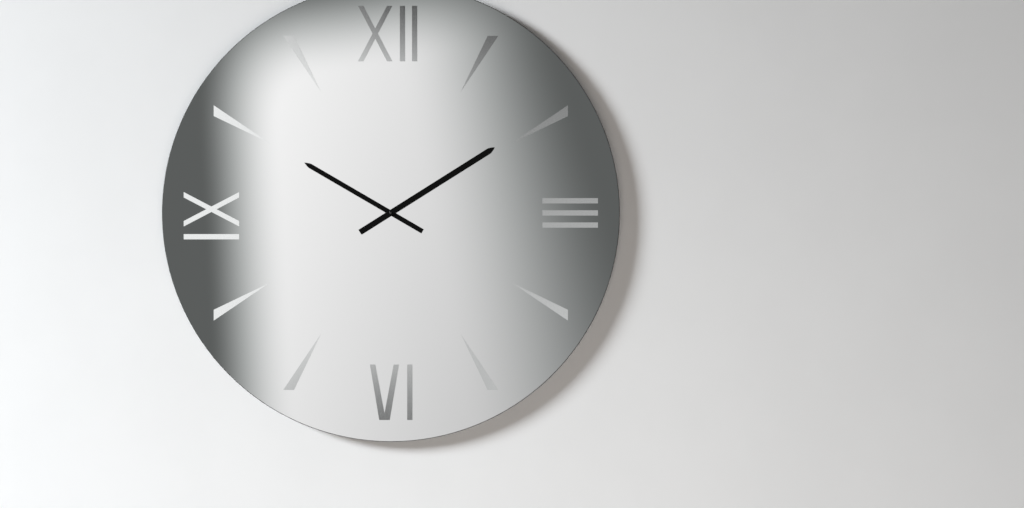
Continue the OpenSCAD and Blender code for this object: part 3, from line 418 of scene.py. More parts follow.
# The moulded signs: a plus and a minus by the ends of the cell, and a bent arrow with a head at
# each end round the knob. They are cut into the mould, and stand 0.2 mm proud of the back case.
CASE_REAR, SIGN_RISE, SIGN_SOFT, SOFT_STEPS = -0.004, 0.0002, 0.00006, 2
SIGN_LONG, SIGN_WIDE, SIGNS_AT = 0.0032, 0.0007, (0.0215, -0.0085)
KNOB_AT, ARROW_R, ARROW_SPREAD = (0.018, 0.0103923), 0.0084, math.radians(62)
ARROW_HALF, ARROW_STEPS = 0.0003, 12
HEAD_GAP, HEAD_HALF, HEAD_LONG = 0.0001, 0.0010, 0.0018


def solid_from(shape, name, finish):
    """Turns a built shape into a piece with a finish."""
    bmesh.ops.recalc_face_normals(shape, faces=shape.faces)
    mesh = bpy.data.meshes.new(name)
    shape.to_mesh(mesh)
    shape.free()
    mesh.materials.append(finish)
    return put_in(name, mesh)


long_half, wide_half = SIGN_LONG / 2, SIGN_WIDE / 2
plus_x, minus_x, signs_z = SIGNS_AT[0], -SIGNS_AT[0], SIGNS_AT[1]
plus = [(plus_x + a * u + b * v, signs_z + a * v - b * u)
        for u, v in ((0, 1), (1, 0), (0, -1), (-1, 0))
        for a, b in ((wide_half, -wide_half), (long_half, -wide_half), (long_half, wide_half))]
minus = [(minus_x + a * long_half, signs_z + b * wide_half)
         for a, b in ((-1, -1), (-1, 1), (1, 1), (1, -1))]
arc = [math.pi + ARROW_SPREAD * t / ARROW_STEPS for t in range(-ARROW_STEPS, ARROW_STEPS + 1)]
bent = [(KNOB_AT[0] + r * math.cos(a), KNOB_AT[1] + r * math.sin(a))
        for r, run in ((ARROW_R - ARROW_HALF, arc), (ARROW_R + ARROW_HALF, arc[::-1])) for a in run]
heads = []
for end in (-1, 1):
    a = math.pi + end * ARROW_SPREAD
    out, forward = Vector((math.cos(a), math.sin(a))), Vector((-math.sin(a), math.cos(a))) * end
    base = Vector(KNOB_AT) + out * ARROW_R + forward * HEAD_GAP
    heads.append([tuple(base + out * HEAD_HALF), tuple(base - out * HEAD_HALF),
                  tuple(base + forward * HEAD_LONG)])
shape = bmesh.new()
for outline in (plus, minus, bent, *heads):
    face = shape.faces.new([shape.verts.new((x, CASE_REAR, z)) for x, z in outline])
    top = bmesh.ops.extrude_face_region(shape, geom=[face])["geom"]
    moved = [v for v in top if isinstance(v, bmesh.types.BMVert)]
    bmesh.ops.translate(shape, vec=(0, SIGN_RISE, 0), verts=moved)
moulded_signs = solid_from(shape, "moulded_signs", case)
soften = moulded_signs.modifiers.new("soft_edges", "BEVEL")
soften.width, soften.segments = SIGN_SOFT, SOFT_STEPS
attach(moulded_signs, "body")

# The motor's iron: a blanked stator plate and a straight core, both of annealed soft iron.
# Annealing leaves a dull grey skin with faint straw and blue clouds.
IRON, IRON_STRAW, IRON_ROUGH = (0.50, 0.50, 0.515), (0.50, 0.45, 0.36), (0.36, 0.5)
IRON_CLOUDS, IRON_GRAIN = dict(size=2.6, detail=4), dict(size=0.2, detail=3, stretch=(0.06, 1, 1))
IRON_PITS, IRON_RELIEF = dict(size=0.12), 0.004

iron = start_finish("annealed_iron", IRON, roughness=0.42, metallic=1.0)
feed(iron, "Base Color", either(iron, mottle(iron, **IRON_CLOUDS), IRON, IRON_STRAW))
feed(iron, "Roughness", level(iron, mottle(iron, **IRON_GRAIN), *IRON_ROUGH))
raise_by(iron, mottle(iron, **IRON_PITS), IRON_RELIEF)
wear(iron, "stator", "coil_core")

# The bobbin: a thin-walled green moulding, a tube with a rounded square flange at each end.
# It is pushed over the core before the core is screwed on the stator.
BOBBIN, BOBBIN_DARKER, BOBBIN_ROUGH = (0.07, 0.25, 0.12), 0.8, (0.32, 0.44)
BOBBIN_FLOW = dict(size=1.2, detail=3, stretch=(0.3, 1, 1))
BOBBIN_GRAIN, BOBBIN_RELIEF = dict(size=0.15), 0.004

bobbin = start_finish("green_bobbin_plastic", BOBBIN, roughness=0.38)
flow = mottle(bobbin, **BOBBIN_FLOW)
feed(bobbin, "Base Color", either(bobbin, flow, BOBBIN, toned(BOBBIN, BOBBIN_DARKER)))
feed(bobbin, "Roughness", level(bobbin, flow, *BOBBIN_ROUGH))
raise_by(bobbin, mottle(bobbin, **BOBBIN_GRAIN), BOBBIN_RELIEF)
wear(bobbin, "coil_bobbin")

# The coil: enamelled copper wire wound in even layers on the bobbin, the last in plain view.
# One unbroken helix lies on the turns below it.
COPPER, COPPER_BURNT, COPPER_ROUGH = (0.70, 0.33, 0.15), (0.60, 0.24, 0.10), (0.22, 0.34)
BURNT = dict(size=1.4, detail=3, stretch=(1, 0.3, 0.3))
ENAMEL_GRAIN, ENAMEL_RELIEF = dict(size=0.08), 0.002
COIL = {"Inner Radius": 0.00222, "Outer Radius": 0.0036, "Half Length": 0.0101, "Wire": 0.0002}
COIL_SIDES, COIL_STEPS, WIRE_SIDES, BORE_THROUGH = 48, 20, 6, 3

copper = start_finish("enamelled_copper", COPPER, roughness=0.28, metallic=1.0,
                      Coat_Weight=0.4, Coat_Roughness=0.12)
burnt = mottle(copper, **BURNT)
feed(copper, "Base Color", either(copper, burnt, COPPER, COPPER_BURNT))
feed(copper, "Roughness", level(copper, burnt, *COPPER_ROUGH))
raise_by(copper, mottle(copper, **ENAMEL_GRAIN), ENAMEL_RELIEF)

coil_low, coil_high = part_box("coil_winding")
tree = Tree("wound_coil", COIL)
given = tree.given
length = tree.work("MULTIPLY", given["Half Length"], 2)
half_wire = tree.work("MULTIPLY", given["Wire"], 0.5)
lay_r = tree.work("SUBTRACT", given["Outer Radius"], half_wire)
under = tree.add("GeometryNodeCurvePrimitiveLine", {
    "Start": (0, 0, 0), "End": tree.vector(z=length)})
under_ring = tree.add("GeometryNodeCurvePrimitiveCircle", {
    "Resolution": COIL_SIDES, "Radius": lay_r})
under = tree.add("GeometryNodeCurveToMesh", {
    0: under, "Profile Curve": under_ring, "Fill Caps": True})
bore = tree.add("GeometryNodeMeshCylinder", {
    "Vertices": COIL_SIDES, "Radius": given["Inner Radius"],
    "Depth": tree.work("MULTIPLY", length, BORE_THROUGH)})
under = tree.add("GeometryNodeMeshBoolean", {"Mesh 1": under, "Mesh 2": [bore]},
                 operation="DIFFERENCE", solver="EXACT")
run = tree.work("SUBTRACT", length, given["Wire"])
helix = tree.add("GeometryNodeCurveSpiral", {
    "Resolution": COIL_STEPS, "Rotations": tree.work("DIVIDE", run, given["Wire"]),
    "Start Radius": lay_r, "End Radius": lay_r, "Height": run})
wire = tree.add("GeometryNodeCurvePrimitiveCircle", {
    "Resolution": WIRE_SIDES, "Radius": half_wire})
helix = tree.add("GeometryNodeCurveToMesh", {0: helix, "Profile Curve": wire, "Fill Caps": True})
helix = tree.add("GeometryNodeSetShadeSmooth", {0: helix})
helix = tree.lift(helix, half_wire)
coil = tree.add("GeometryNodeJoinGeometry", {0: [under, helix]})
coil = tree.lift(coil, tree.work("MULTIPLY", given["Half Length"], -1))
coil = tree.add("GeometryNodeTransform", {
    0: coil, "Rotation": (0, math.pi / 2, 0), "Translation": tuple((coil_low + coil_high) / 2)})
wound_coil = tree.finish(coil, copper, "wound_coil")
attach(wound_coil, "body")
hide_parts("coil_winding")

# The motor screws: two small zinc-plated steel screws with slotted round heads.
# They go through the core's ends and the stator into posts of the back case.
wear(zinc, "motor_screws")

# The rotor's magnet: a small sintered ring, dark and slightly grainy, pressed on the rotor's arbor.
# It turns in the round hole of the stator.
MAGNET, MAGNET_DARKER, MAGNET_ROUGH = (0.20, 0.20, 0.22), 0.6, (0.38, 0.6)
GRANULES, MAGNET_RELIEF = dict(size=0.12, detail=3, low=0.4, high=0.7), 0.006

magnet = start_finish("sintered_magnet", MAGNET, roughness=0.45, metallic=0.85)
granules = mottle(magnet, **GRANULES)
feed(magnet, "Base Color", either(magnet, granules, MAGNET, toned(MAGNET, MAGNET_DARKER)))
feed(magnet, "Roughness", level(magnet, granules, *MAGNET_ROUGH))
raise_by(magnet, granules, MAGNET_RELIEF)
wear(magnet, "rotor_magnet")

# The wheels: moulded in natural acetal, waxy and slightly see-through, most with a pinion in one
# piece with them. Faint flow lines run out from the gate at the hub.
ACETAL, ACETAL_DEEP, ACETAL_ROUGH = (0.85, 0.84, 0.78), (0.80, 0.785, 0.71), (0.28, 0.42)
ACETAL_FLOW, ACETAL_SHINE = dict(size=1.6, detail=3), dict(size=0.4)
ACETAL_GRAIN, ACETAL_RELIEF = dict(size=0.18), 0.003

acetal = start_finish("natural_acetal", ACETAL, roughness=0.34, IOR=1.48,
                      Subsurface_Weight=0.12, Subsurface_Scale=0.0006)
feed(acetal, "Base Color", either(acetal, mottle(acetal, **ACETAL_FLOW), ACETAL, ACETAL_DEEP))
feed(acetal, "Roughness", level(acetal, mottle(acetal, **ACETAL_SHINE), *ACETAL_ROUGH))
raise_by(acetal, mottle(acetal, **ACETAL_GRAIN), ACETAL_RELIEF)
wear(acetal, "rotor", "intermediate_wheel", "seconds_wheel", "third_wheel", "centre_wheel",
     "motion_wheel", "hour_wheel")

# The train plate: a thin pale moulding between the motor and the wheels, with their bearing holes.
# It sits on four pillars and is clamped when the case's halves close.
PLATE, PLATE_DEEP, PLATE_ROUGH = (0.79, 0.77, 0.69), (0.74, 0.715, 0.63), (0.44, 0.58)
PLATE_CLOUDS, PLATE_GRAIN, PLATE_RELIEF = dict(size=3.0, detail=3), dict(size=0.25), 0.01

plate = start_finish("pale_plate_plastic", PLATE, roughness=0.5)
feed(plate, "Base Color", either(plate, mottle(plate, **PLATE_CLOUDS), PLATE, PLATE_DEEP))
feed(plate, "Roughness", level(plate, mottle(plate, **PLATE_GRAIN), *PLATE_ROUGH))
raise_by(plate, mottle(plate, **PLATE_GRAIN), PLATE_RELIEF)
wear(plate, "train_plate")

# The minute arbor: turned brass with a cut pinion, two flats for the hand and a threaded tip.
# The hour hand's collet and the washer and nut that hold the movement are of the same brass.
BRASS, BRASS_TARNISH, BRASS_ROUGH = (0.78, 0.62, 0.32), (0.58, 0.43, 0.21), (0.14, 0.36)
TARNISH = dict(size=1.5, detail=4, low=0.48, high=0.75)
RINGS_PER_MM, RINGS_ALONG, BRASS_RELIEF = 9.0, 0.7, 0.006


def lathe_rings(made, per_mm, lengthwise=0.0):
    """Fine rings round the Y axis, as a turning tool leaves them."""
    from_axis = length_of(made, spot(made, stretch=(1, 0, 1)))
    if lengthwise:
        from_axis = sum_up(made, "ADD", from_axis, sum_up(
            made, "MULTIPLY", along(made, "Y"), lengthwise))
    return add(made, "ShaderNodeTexNoise", {"W": from_axis, "Scale": per_mm},
               noise_dimensions="1D").outputs["Fac"]


brass = start_finish("turned_brass", BRASS, roughness=0.24, metallic=1.0)
rings = lathe_rings(brass, RINGS_PER_MM, RINGS_ALONG)
feed(brass, "Base Color", either(brass, mottle(brass, **TARNISH), BRASS, BRASS_TARNISH))
feed(brass, "Roughness", level(brass, rings, *BRASS_ROUGH))
raise_by(brass, rings, BRASS_RELIEF)
wear(brass, "minute_arbor", "hour_collet", "fixing_washer", "fixing_nut")

# The clutch: a cupped washer of spring steel and a ring under it, both punched from rolled strip.
# The washer presses the centre wheel on the minute arbor, which slips when the hands are set.
SPRING, SPRING_BLUE, SPRING_ROUGH = (0.55, 0.55, 0.565), (0.46, 0.47, 0.52), (0.22, 0.4)
SPRING_CLOUDS = dict(size=1.1, detail=3)
STRIP, SPRING_RELIEF = dict(size=0.12, detail=3, stretch=(0.08, 1, 1)), 0.003

spring = start_finish("spring_steel", SPRING, roughness=0.3, metallic=1.0)
strip = mottle(spring, **STRIP)
feed(spring, "Base Color", either(spring, mottle(spring, **SPRING_CLOUDS), SPRING, SPRING_BLUE))
feed(spring, "Roughness", level(spring, strip, *SPRING_ROUGH))
raise_by(spring, strip, SPRING_RELIEF)
wear(spring, "clutch_spring", "clutch_ring")

# The circuit board: a thin laminate under green solder mask, threaded over two pillars' necks.
# Its tracks show as paler bands, which run up in some patches and across in others.
MASK, MASK_ROUGH, TRACK = (0.045, 0.22, 0.10), (0.28, 0.4), (0.085, 0.33, 0.15)
LAMINATE, LAMINATE_ROUGH, LAMINATE_EDGE = (0.50, 0.46, 0.27), 0.8, (0.9, 0.7)
BANDS_PER_MM, TRACK_FROM_TO, TRACK_RELIEF = 0.3, (0.66, 0.72), 0.03
PATCHES_PER_MM, PATCH_SPLIT = 0.25, (0.49, 0.51)
MASK_SHINE = dict(size=1)

laminate = start_finish("circuit_laminate", MASK, roughness=0.35)
up, across = [add(laminate, "ShaderNodeTexWave", {
    "Vector": spot(laminate), "Scale": BANDS_PER_MM}, bands_direction=way).outputs["Fac"]
    for way in "XZ"]
patch = add(laminate, "ShaderNodeTexVoronoi", {
    "Vector": spot(laminate, stretch=(1, 0, 1)), "Scale": PATCHES_PER_MM},
    distance="CHEBYCHEV").outputs["Color"]
patch = add(laminate, "ShaderNodeSeparateColor", {0: patch}).outputs[0]
is_up = soft_step(laminate, patch, *PATCH_SPLIT)
tracks = soft_step(laminate, level(laminate, is_up, up, across), *TRACK_FROM_TO)
is_edge = soft_step(laminate, sum_up(laminate, "ABSOLUTE", facing(laminate, "Y")), *LAMINATE_EDGE)
masked = either(laminate, tracks, MASK, TRACK)
feed(laminate, "Base Color", either(laminate, is_edge, masked, LAMINATE))
feed(laminate, "Roughness", level(laminate, is_edge, level(
    laminate, mottle(laminate, **MASK_SHINE), *MASK_ROUGH), LAMINATE_ROUGH))
raise_by(laminate, tracks, TRACK_RELIEF)
wear(laminate, "circuit_board")

# The crystal: a drawn tin-plated can that lies on the board, its two wire leads soldered there.
# The contacts are strips of the same tin-plated metal.
TIN, TIN_DULL, TIN_ROUGH = (0.77, 0.765, 0.73), (0.70, 0.69, 0.64), (0.2, 0.36)
TIN_CLOUDS = dict(size=1.8, detail=3)
DRAWN, TIN_RELIEF = dict(size=0.15, detail=3, stretch=(1, 1, 0.08)), 0.003
LEAD_R, LEAD_SIDES, LEAD_SPREAD = 0.00015, 8, 0.00035
LEAD_INSIDE, LEAD_STRAIGHT, LEAD_REACH = 0.0003, 0.0004, 0.0016
BEND_ASIDE, BEND_SHARE, BEND_DOWN, END_ASIDE = 0.0003, 0.4, 0.0009, 0.0005
SOLDER_HALF, SOLDER_STEPS = (0.00055, 0.00035, 0.0007), (16, 8)

tin = start_finish("tin_plate", TIN, roughness=0.26, metallic=1.0)
drawn = mottle(tin, **DRAWN)
feed(tin, "Base Color", either(tin, mottle(tin, **TIN_CLOUDS), TIN, TIN_DULL))
feed(tin, "Roughness", level(tin, drawn, *TIN_ROUGH))
raise_by(tin, drawn, TIN_RELIEF)
wear(tin, "quartz_crystal", "positive_contact", "negative_contact")

can_low, can_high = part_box("quartz_crystal")
circuit_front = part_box("circuit_board")[0].y
can_axis = (can_low + can_high) / 2
bend_y = can_axis.y * (1 - BEND_SHARE) + circuit_front * BEND_SHARE
angles = [k * math.pi / (LEAD_SIDES / 2) for k in range(LEAD_SIDES)]
leads = bmesh.new()
for side in (-1, 1):
    x = can_axis.x + side * LEAD_SPREAD
    path = [Vector((x, can_axis.y, can_low.z + LEAD_INSIDE)),
            Vector((x, can_axis.y, can_low.z - LEAD_STRAIGHT)),
            Vector((x + side * BEND_ASIDE, bend_y, can_low.z - BEND_DOWN)),
            Vector((x + side * END_ASIDE, circuit_front - LEAD_R, can_low.z - LEAD_REACH))]
    hoops = []
    for i, middle in enumerate(path):
        before, after = path[max(i - 1, 0)], path[min(i + 1, len(path) - 1)]
        turn = (after - before).to_track_quat("Z", "X").to_matrix()
        hoops.append([leads.verts.new(middle + turn @ Vector(
            (LEAD_R * math.cos(a), LEAD_R * math.sin(a), 0))) for a in angles])
    for low_hoop, high_hoop in zip(hoops, hoops[1:]):
        for k in range(LEAD_SIDES):
            m = (k + 1) % LEAD_SIDES
            leads.faces.new([low_hoop[k], low_hoop[m], high_hoop[m], high_hoop[k]])
    leads.faces.new(hoops[0][::-1])
    leads.faces.new(hoops[-1])
    joint = bmesh.ops.create_uvsphere(
        leads, u_segments=SOLDER_STEPS[0], v_segments=SOLDER_STEPS[1], radius=1)["verts"]
    bmesh.ops.transform(leads, verts=joint, matrix=Matrix.Translation(
        (path[-1].x, circuit_front, path[-1].z)) @ Matrix.Diagonal((*SOLDER_HALF, 1)))
crystal_leads = solid_from(leads, "crystal_leads", tin)
crystal_leads.data.shade_smooth()
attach(crystal_leads, "body")

# The control chip: a bare chip glued on the board, under a poured drop of black resin.
# The resin sets glossy, with a faint orange peel.
RESIN, RESIN_LIGHTER, RESIN_ROUGH = (0.018, 0.018, 0.019), 1.6, (0.13, 0.26)
PEEL, PEEL_RELIEF = dict(size=0.5), 0.01

resin = start_finish("black_resin", RESIN, roughness=0.18)
peel = mottle(resin, **PEEL)
feed(resin, "Base Color", either(resin, peel, RESIN, toned(RESIN, RESIN_LIGHTER)))
feed(resin, "Roughness", level(resin, peel, *RESIN_ROUGH))
raise_by(resin, peel, PEEL_RELIEF)
wear(resin, "control_chip")

# The gasket: a ring punched from soft black rubber sheet.
# It lies round the bushing, where the fixing nut squeezes it between the movement and the glass.
RUBBER, RUBBER_DUSTY, RUBBER_ROUGH = (0.032, 0.032, 0.033), (0.06, 0.06, 0.06), (0.72, 0.92)
DUST = dict(size=3.5, detail=4, low=0.5, high=0.8)
RUBBER_GRAIN, RUBBER_RELIEF = dict(size=0.3), 0.02

rubber = start_finish("soft_rubber", RUBBER, roughness=0.8)
dusty = mottle(rubber, **DUST)
feed(rubber, "Base Color", either(rubber, dusty, RUBBER, RUBBER_DUSTY))
feed(rubber, "Roughness", level(rubber, dusty, *RUBBER_ROUGH))
raise_by(rubber, mottle(rubber, **RUBBER_GRAIN), RUBBER_RELIEF)
wear(rubber, "gasket")

# The setting knob: a red moulding with a grooved grip and a dished rear, turned by a finger.
# Its stem goes through the back case, and its pinion turns the motion wheel.
KNOB, KNOB_DEEP, KNOB_ROUGH = (0.58, 0.045, 0.035), (0.50, 0.035, 0.03), (0.36, 0.5)
KNOB_CLOUDS, KNOB_GRAIN, KNOB_RELIEF = dict(size=2.4, detail=3), dict(size=0.2), 0.008

knob = start_finish("red_knob_plastic", KNOB, roughness=0.42)
matt = mottle(knob, **KNOB_GRAIN)
feed(knob, "Base Color", either(knob, mottle(knob, **KNOB_CLOUDS), KNOB, KNOB_DEEP))
feed(knob, "Roughness", level(knob, matt, *KNOB_ROUGH))
raise_by(knob, matt, KNOB_RELIEF)
wear(knob, "setting_knob")

# The hands: two straight batons cut from aluminium sheet and coated matt black all round.
# The coat has a fine even grain and hardly shines.
HAND, HAND_LIGHTER, HAND_ROUGH = (0.0028, 0.0028, 0.0027), 1.5, (0.44, 0.58)
COAT_GRAIN, COAT_RELIEF = dict(size=0.35), 0.006

enamel = start_finish("matt_black_enamel", HAND, roughness=0.5, Specular_IOR_Level=0.05)
coat = mottle(enamel, **COAT_GRAIN)
feed(enamel, "Base Color", either(enamel, coat, HAND, toned(HAND, HAND_LIGHTER)))
feed(enamel, "Roughness", level(enamel, coat, *HAND_ROUGH))
raise_by(enamel, coat, COAT_RELIEF)
wear(enamel, "hour_hand", "minute_hand")

# The cap nut: a small dome turned from brass, with dark black nickel plating.
# It screws on the tip of the minute arbor, holds the minute hand and closes the shaft.
NICKEL, NICKEL_WORN, NICKEL_ROUGH = (0.06, 0.06, 0.062), (0.08, 0.078, 0.075), (0.2, 0.34)
NICKEL_CLOUDS, NUT_RINGS_PER_MM, NUT_RELIEF = dict(size=0.8, detail=3), 7.0, 0.002

nickel = start_finish("black_nickel", NICKEL, roughness=0.26, metallic=1.0)
nut_rings = lathe_rings(nickel, NUT_RINGS_PER_MM)
feed(nickel, "Base Color", either(nickel, mottle(nickel, **NICKEL_CLOUDS), NICKEL, NICKEL_WORN))
feed(nickel, "Roughness", level(nickel, nut_rings, *NICKEL_ROUGH))
raise_by(nickel, nut_rings, NUT_RELIEF)
wear(nickel, "cap_nut")

# The cell: a steel can in a shrunk plastic sleeve without words, bare metal at both ends.
# The sleeve is dark blue, with a silver band near the stud and a fine seam along its length.
SLEEVE, SLEEVE_LIGHTER, SLEEVE_ROUGH = (0.022, 0.055, 0.16), 1.2, (0.2, 0.3)
SLEEVE_BAND, BAND_FROM, BAND_TO = (0.58, 0.59, 0.60), (36.4, 36.6), (40.6, 40.4)
SLEEVE_R = (6.27, 6.3)
CAN, CAN_ROUGH = (0.70, 0.70, 0.69), (0.25, 0.4)
SEAM_DARKER, SEAM_FROM_TO = 0.6, (0.25, 0.1)
SLEEVE_CLOUDS, SLEEVE_SHINE, CAN_SHINE = dict(size=12), dict(size=5), dict(size=0.3, detail=3)
SLEEVE_RELIEF = 0.03

cell_low, cell_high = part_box("battery")
cell_mid = (cell_low + cell_high) / 2
from_end = [MM_PER_METRE * c for c in (cell_low.x, cell_mid.y, cell_mid.z)]
jacket = start_finish("cell_jacket", SLEEVE, roughness=0.25, Coat_Weight=0.5, Coat_Roughness=0.1)
run_x = along(jacket, "X", from_end)
cell_r = length_of(jacket, spot(jacket, (0, 1, 1), from_end))
is_sleeve = soft_step(jacket, cell_r, *SLEEVE_R)
is_band = sum_up(jacket, "MULTIPLY", soft_step(jacket, run_x, *BAND_FROM),
                 soft_step(jacket, run_x, *BAND_TO))
seam = soft_step(jacket, sum_up(jacket, "ABSOLUTE", along(jacket, "Z", from_end)), *SEAM_FROM_TO)
blue = either(jacket, mottle(jacket, **SLEEVE_CLOUDS), SLEEVE, toned(SLEEVE, SLEEVE_LIGHTER))
sleeve = either(jacket, seam, either(jacket, is_band, blue, SLEEVE_BAND),
                toned(SLEEVE, SEAM_DARKER))
feed(jacket, "Base Color", either(jacket, is_sleeve, CAN, sleeve))
is_blue = sum_up(jacket, "MULTIPLY", is_sleeve, sum_up(jacket, "SUBTRACT", 1.0, is_band))
feed(jacket, "Metallic", sum_up(jacket, "SUBTRACT", 1.0, is_blue))
can_shine = level(jacket, mottle(jacket, **CAN_SHINE), *CAN_ROUGH)
sleeve_shine = level(jacket, mottle(jacket, **SLEEVE_SHINE), *SLEEVE_ROUGH)
feed(jacket, "Roughness", level(jacket, is_sleeve, can_shine, sleeve_shine))
proud = sum_up(jacket, "MULTIPLY", is_sleeve, sum_up(jacket, "SUBTRACT", 1.0, seam))
raise_by(jacket, proud, SLEEVE_RELIEF)
wear(jacket, "battery")

# The photographer's view: square to the wall, a little right of the dial and below its middle.
# The frame is as wide as VIEW_WIDE at the front of the glass. Lengths are in metres from here on.
GLASS_FRONT = 0.027
CAMERA_AWAY, CAMERA_AT = 3.2, (0.2645, -0.0897)
VIEW_WIDE, SENSOR_WIDE = 2.2354, 36

camera = bpy.data.cameras.new("camera")
camera.sensor_width = SENSOR_WIDE
camera.lens = SENSOR_WIDE * CAMERA_AWAY / VIEW_WIDE
camera_holder = put_in("camera", camera)
camera_holder.location = (CAMERA_AT[0], -GLASS_FRONT - CAMERA_AWAY, CAMERA_AT[1])
camera_holder.rotation_euler = (math.pi / 2, 0, 0)
bpy.context.scene.camera = camera_holder
bpy.context.scene.view_settings.view_transform = "Standard"

# The room: a pale painted wall behind the clock and a pale floor under it.
# Seen from behind or below, both are clear, and they pass light to the clock's back.
WALL, WALL_REACH, WALL_TOP = (0.86, 0.86, 0.855), 6.0, 4.5
FLOOR, FLOOR_GLOW, FLOOR_REACH, FLOOR_DOWN = (0.26, 0.26, 0.255), 2.1, 9, -1.45
ROOM_ROUGH, ROOM_SHINE, ROOM_DARKER, ROOM_RELIEF = 0.9, 0.1, 0.985, 0.05
ROOM_CLOUDS, ROOM_STIPPLE = dict(size=260, detail=3), dict(size=1.5, detail=3)


def sheet_of(name, corners, finish):
    """A flat four-cornered surface of the room."""
    mesh = bpy.data.meshes.new(name)
    mesh.from_pydata(corners, [], [(0, 1, 2, 3)])
    mesh.materials.append(finish)
    made = put_in(name, mesh)
    return made


def room_paint(name, colour, glow=0.0):
    """Matt paint that only the camera and reflections see, and only on its painted side."""
    made = start_finish(name, colour, ROOM_ROUGH, Specular_IOR_Level=ROOM_SHINE,
                        Emission_Color=(*colour, 1), Emission_Strength=glow)
    feed(made, "Base Color", either(
        made, mottle(made, **ROOM_CLOUDS), colour, toned(colour, ROOM_DARKER)))
    raise_by(made, mottle(made, **ROOM_STIPPLE), ROOM_RELIEF)
    light_path = add(made, "ShaderNodeLightPath", {}).outputs
    seen = sum_up(made, "MAXIMUM", light_path["Is Camera Ray"], light_path["Is Glossy Ray"])
    behind = add(made, "ShaderNodeNewGeometry", {}).outputs["Backfacing"]
    share = sum_up(made, "MULTIPLY", seen, sum_up(made, "SUBTRACT", 1.0, behind))
    clear = add(made, "ShaderNodeBsdfTransparent", {}).outputs[0]
    painted = made.node_tree.nodes["Principled BSDF"].outputs[0]
    mixed = add(made, "ShaderNodeMixShader", {0: share, 1: clear, 2: painted}).outputs[0]
    made.node_tree.links.new(mixed, made.node_tree.nodes["Material Output"].inputs["Surface"])
    return made


sheet_of("painted_wall", [(-WALL_REACH, 0, FLOOR_DOWN), (WALL_REACH, 0, FLOOR_DOWN),
                          (WALL_REACH, 0, WALL_TOP), (-WALL_REACH, 0, WALL_TOP)],
         room_paint("wall_paint", WALL))
sheet_of("pale_floor", [(FLOOR_REACH * x, FLOOR_REACH * y, FLOOR_DOWN)
                        for x, y in ((-1, -1), (1, -1), (1, 1), (-1, 1))],
         room_paint("floor_paint", FLOOR, FLOOR_GLOW))

# The air of the room: a weak, slightly warm light from all round.
# The camera sees it as a plain pale background.
AIR_LIGHT, AIR_SEEN = (0.128, 0.120, 0.113, 1), (0.93, 0.93, 0.93, 1)

world = bpy.data.worlds.new("studio_air")
bpy.context.scene.world = world
world.use_nodes = True
air = world.node_tree.nodes["Background"]
air_path = world.node_tree.nodes.new("ShaderNodeLightPath")
air_colour = world.node_tree.nodes.new("ShaderNodeMix")
air_colour.data_type = "RGBA"
air_colour.inputs[6].default_value, air_colour.inputs[7].default_value = AIR_LIGHT, AIR_SEEN
world.node_tree.links.new(air_path.outputs["Is Camera Ray"], air_colour.inputs[0])
world.node_tree.links.new(air_colour.outputs[2], air.inputs["Color"])
air.inputs["Strength"].default_value = 1

# The lamps: a soft one far to the left throws the shadow to the right and a little down, and a
# wide warm one low in front fills it. Two behind the wall, which lets them through, light only
# the clock's back.


def lamp(name, place, aim, wide, power, colour=(1, 1, 1), shines=True, spread=180):
    """A round lamp; one that doesn't shine is left out of reflections."""
    light = bpy.data.lights.new(name, "AREA")
    light.shape, light.size, light.energy, light.color = "DISK", wide, power, colour
    light.spread = math.radians(spread)
    made = put_in(name, light)
    made.location = place
    made.rotation_euler = (Vector(aim) - Vector(place)).to_track_quat("-Z", "Y").to_euler()
    made.visible_camera = False
    made.visible_glossy = shines


lamp("key_lamp", place=(-5.707, -3.024, 2.137), aim=(1.2, 0, -5.3), wide=2.1, power=338,
     colour=(0.915, 0.96, 1.0), spread=105)
lamp("fill_lamp", place=(0.3, -2.2, -1.25), aim=(0.15, 0, -0.6), wide=2.4, power=18.5,
     colour=(1.0, 0.93, 0.874), shines=False)
lamp("rear_lamp", place=(-1.8, 3.4, 1.6), aim=(0, 0, 0), wide=1.6, power=90)
lamp("rear_fill_lamp", place=(2.4, 3.0, -0.4), aim=(0, 0, 0), wide=2.4, power=45)

# The mirror's card: a big board in front of the clock that only reflections see, though not those
# in the satin marks. It is a bright panel between a dark flag on the left and one on the right.
# Its sizes are places on the dial where its edges show, in metres from the shaft.
CARD_AT, CARD_WIDE, CARD_LOW, CARD_HIGH = -4.5, 9.0, -5.0, 6.0
DARK_FLAG, BRIGHT, PANEL_LEAST, PANEL_MOST = 0.134, 0.925, 0.5, 1.12
FLAG_TINT, PANEL_TINT = (0.99, 1.005, 1.0), (1.022, 0.983, 0.995)
LEFT_EDGE, LEFT_SOFT, LEFT_LEAN = -0.1226, 0.290, 0.054
TOP_EDGE, TOP_SOFT, TOP_LEAN = 0.1955, 0.344, -0.162
ROUND_CORNER, CORNER_FROM_TO = 3.26, (1.0, 0.36)
RIGHT_FROM, RIGHT_FROM_LEAN = 0.0735, 0.189
RIGHT_TO, RIGHT_TO_LEAN = 0.4876, 0.329
FALL_RIGHT, FALL_DOWN = 0.616, 0.181
BEYOND_FROM_TO, BEYOND_GLOW = (0.75, 1.2), 0.62


def glow_finish(name):
    """An empty material for a card."""
    made = bpy.data.materials.new(name)
    made.use_nodes = True
    made.node_tree.nodes.remove(made.node_tree.nodes["Principled BSDF"])
    return made


def seen_at(made, card_y):
    """X and Z of the place on the dial where the camera sees a point of a card."""
    reach = (-card_y - GLASS_FRONT) / CAMERA_AWAY
    place = add(made, "ShaderNodeTexCoord", {}).outputs["Object"]
    parts = add(made, "ShaderNodeSeparateXYZ", {0: place}).outputs
    return [sum_up(made, "DIVIDE", sum_up(made, "ADD", parts[axis], reach * off), 1 + reach)
            for axis, off in zip("XZ", CAMERA_AT)]


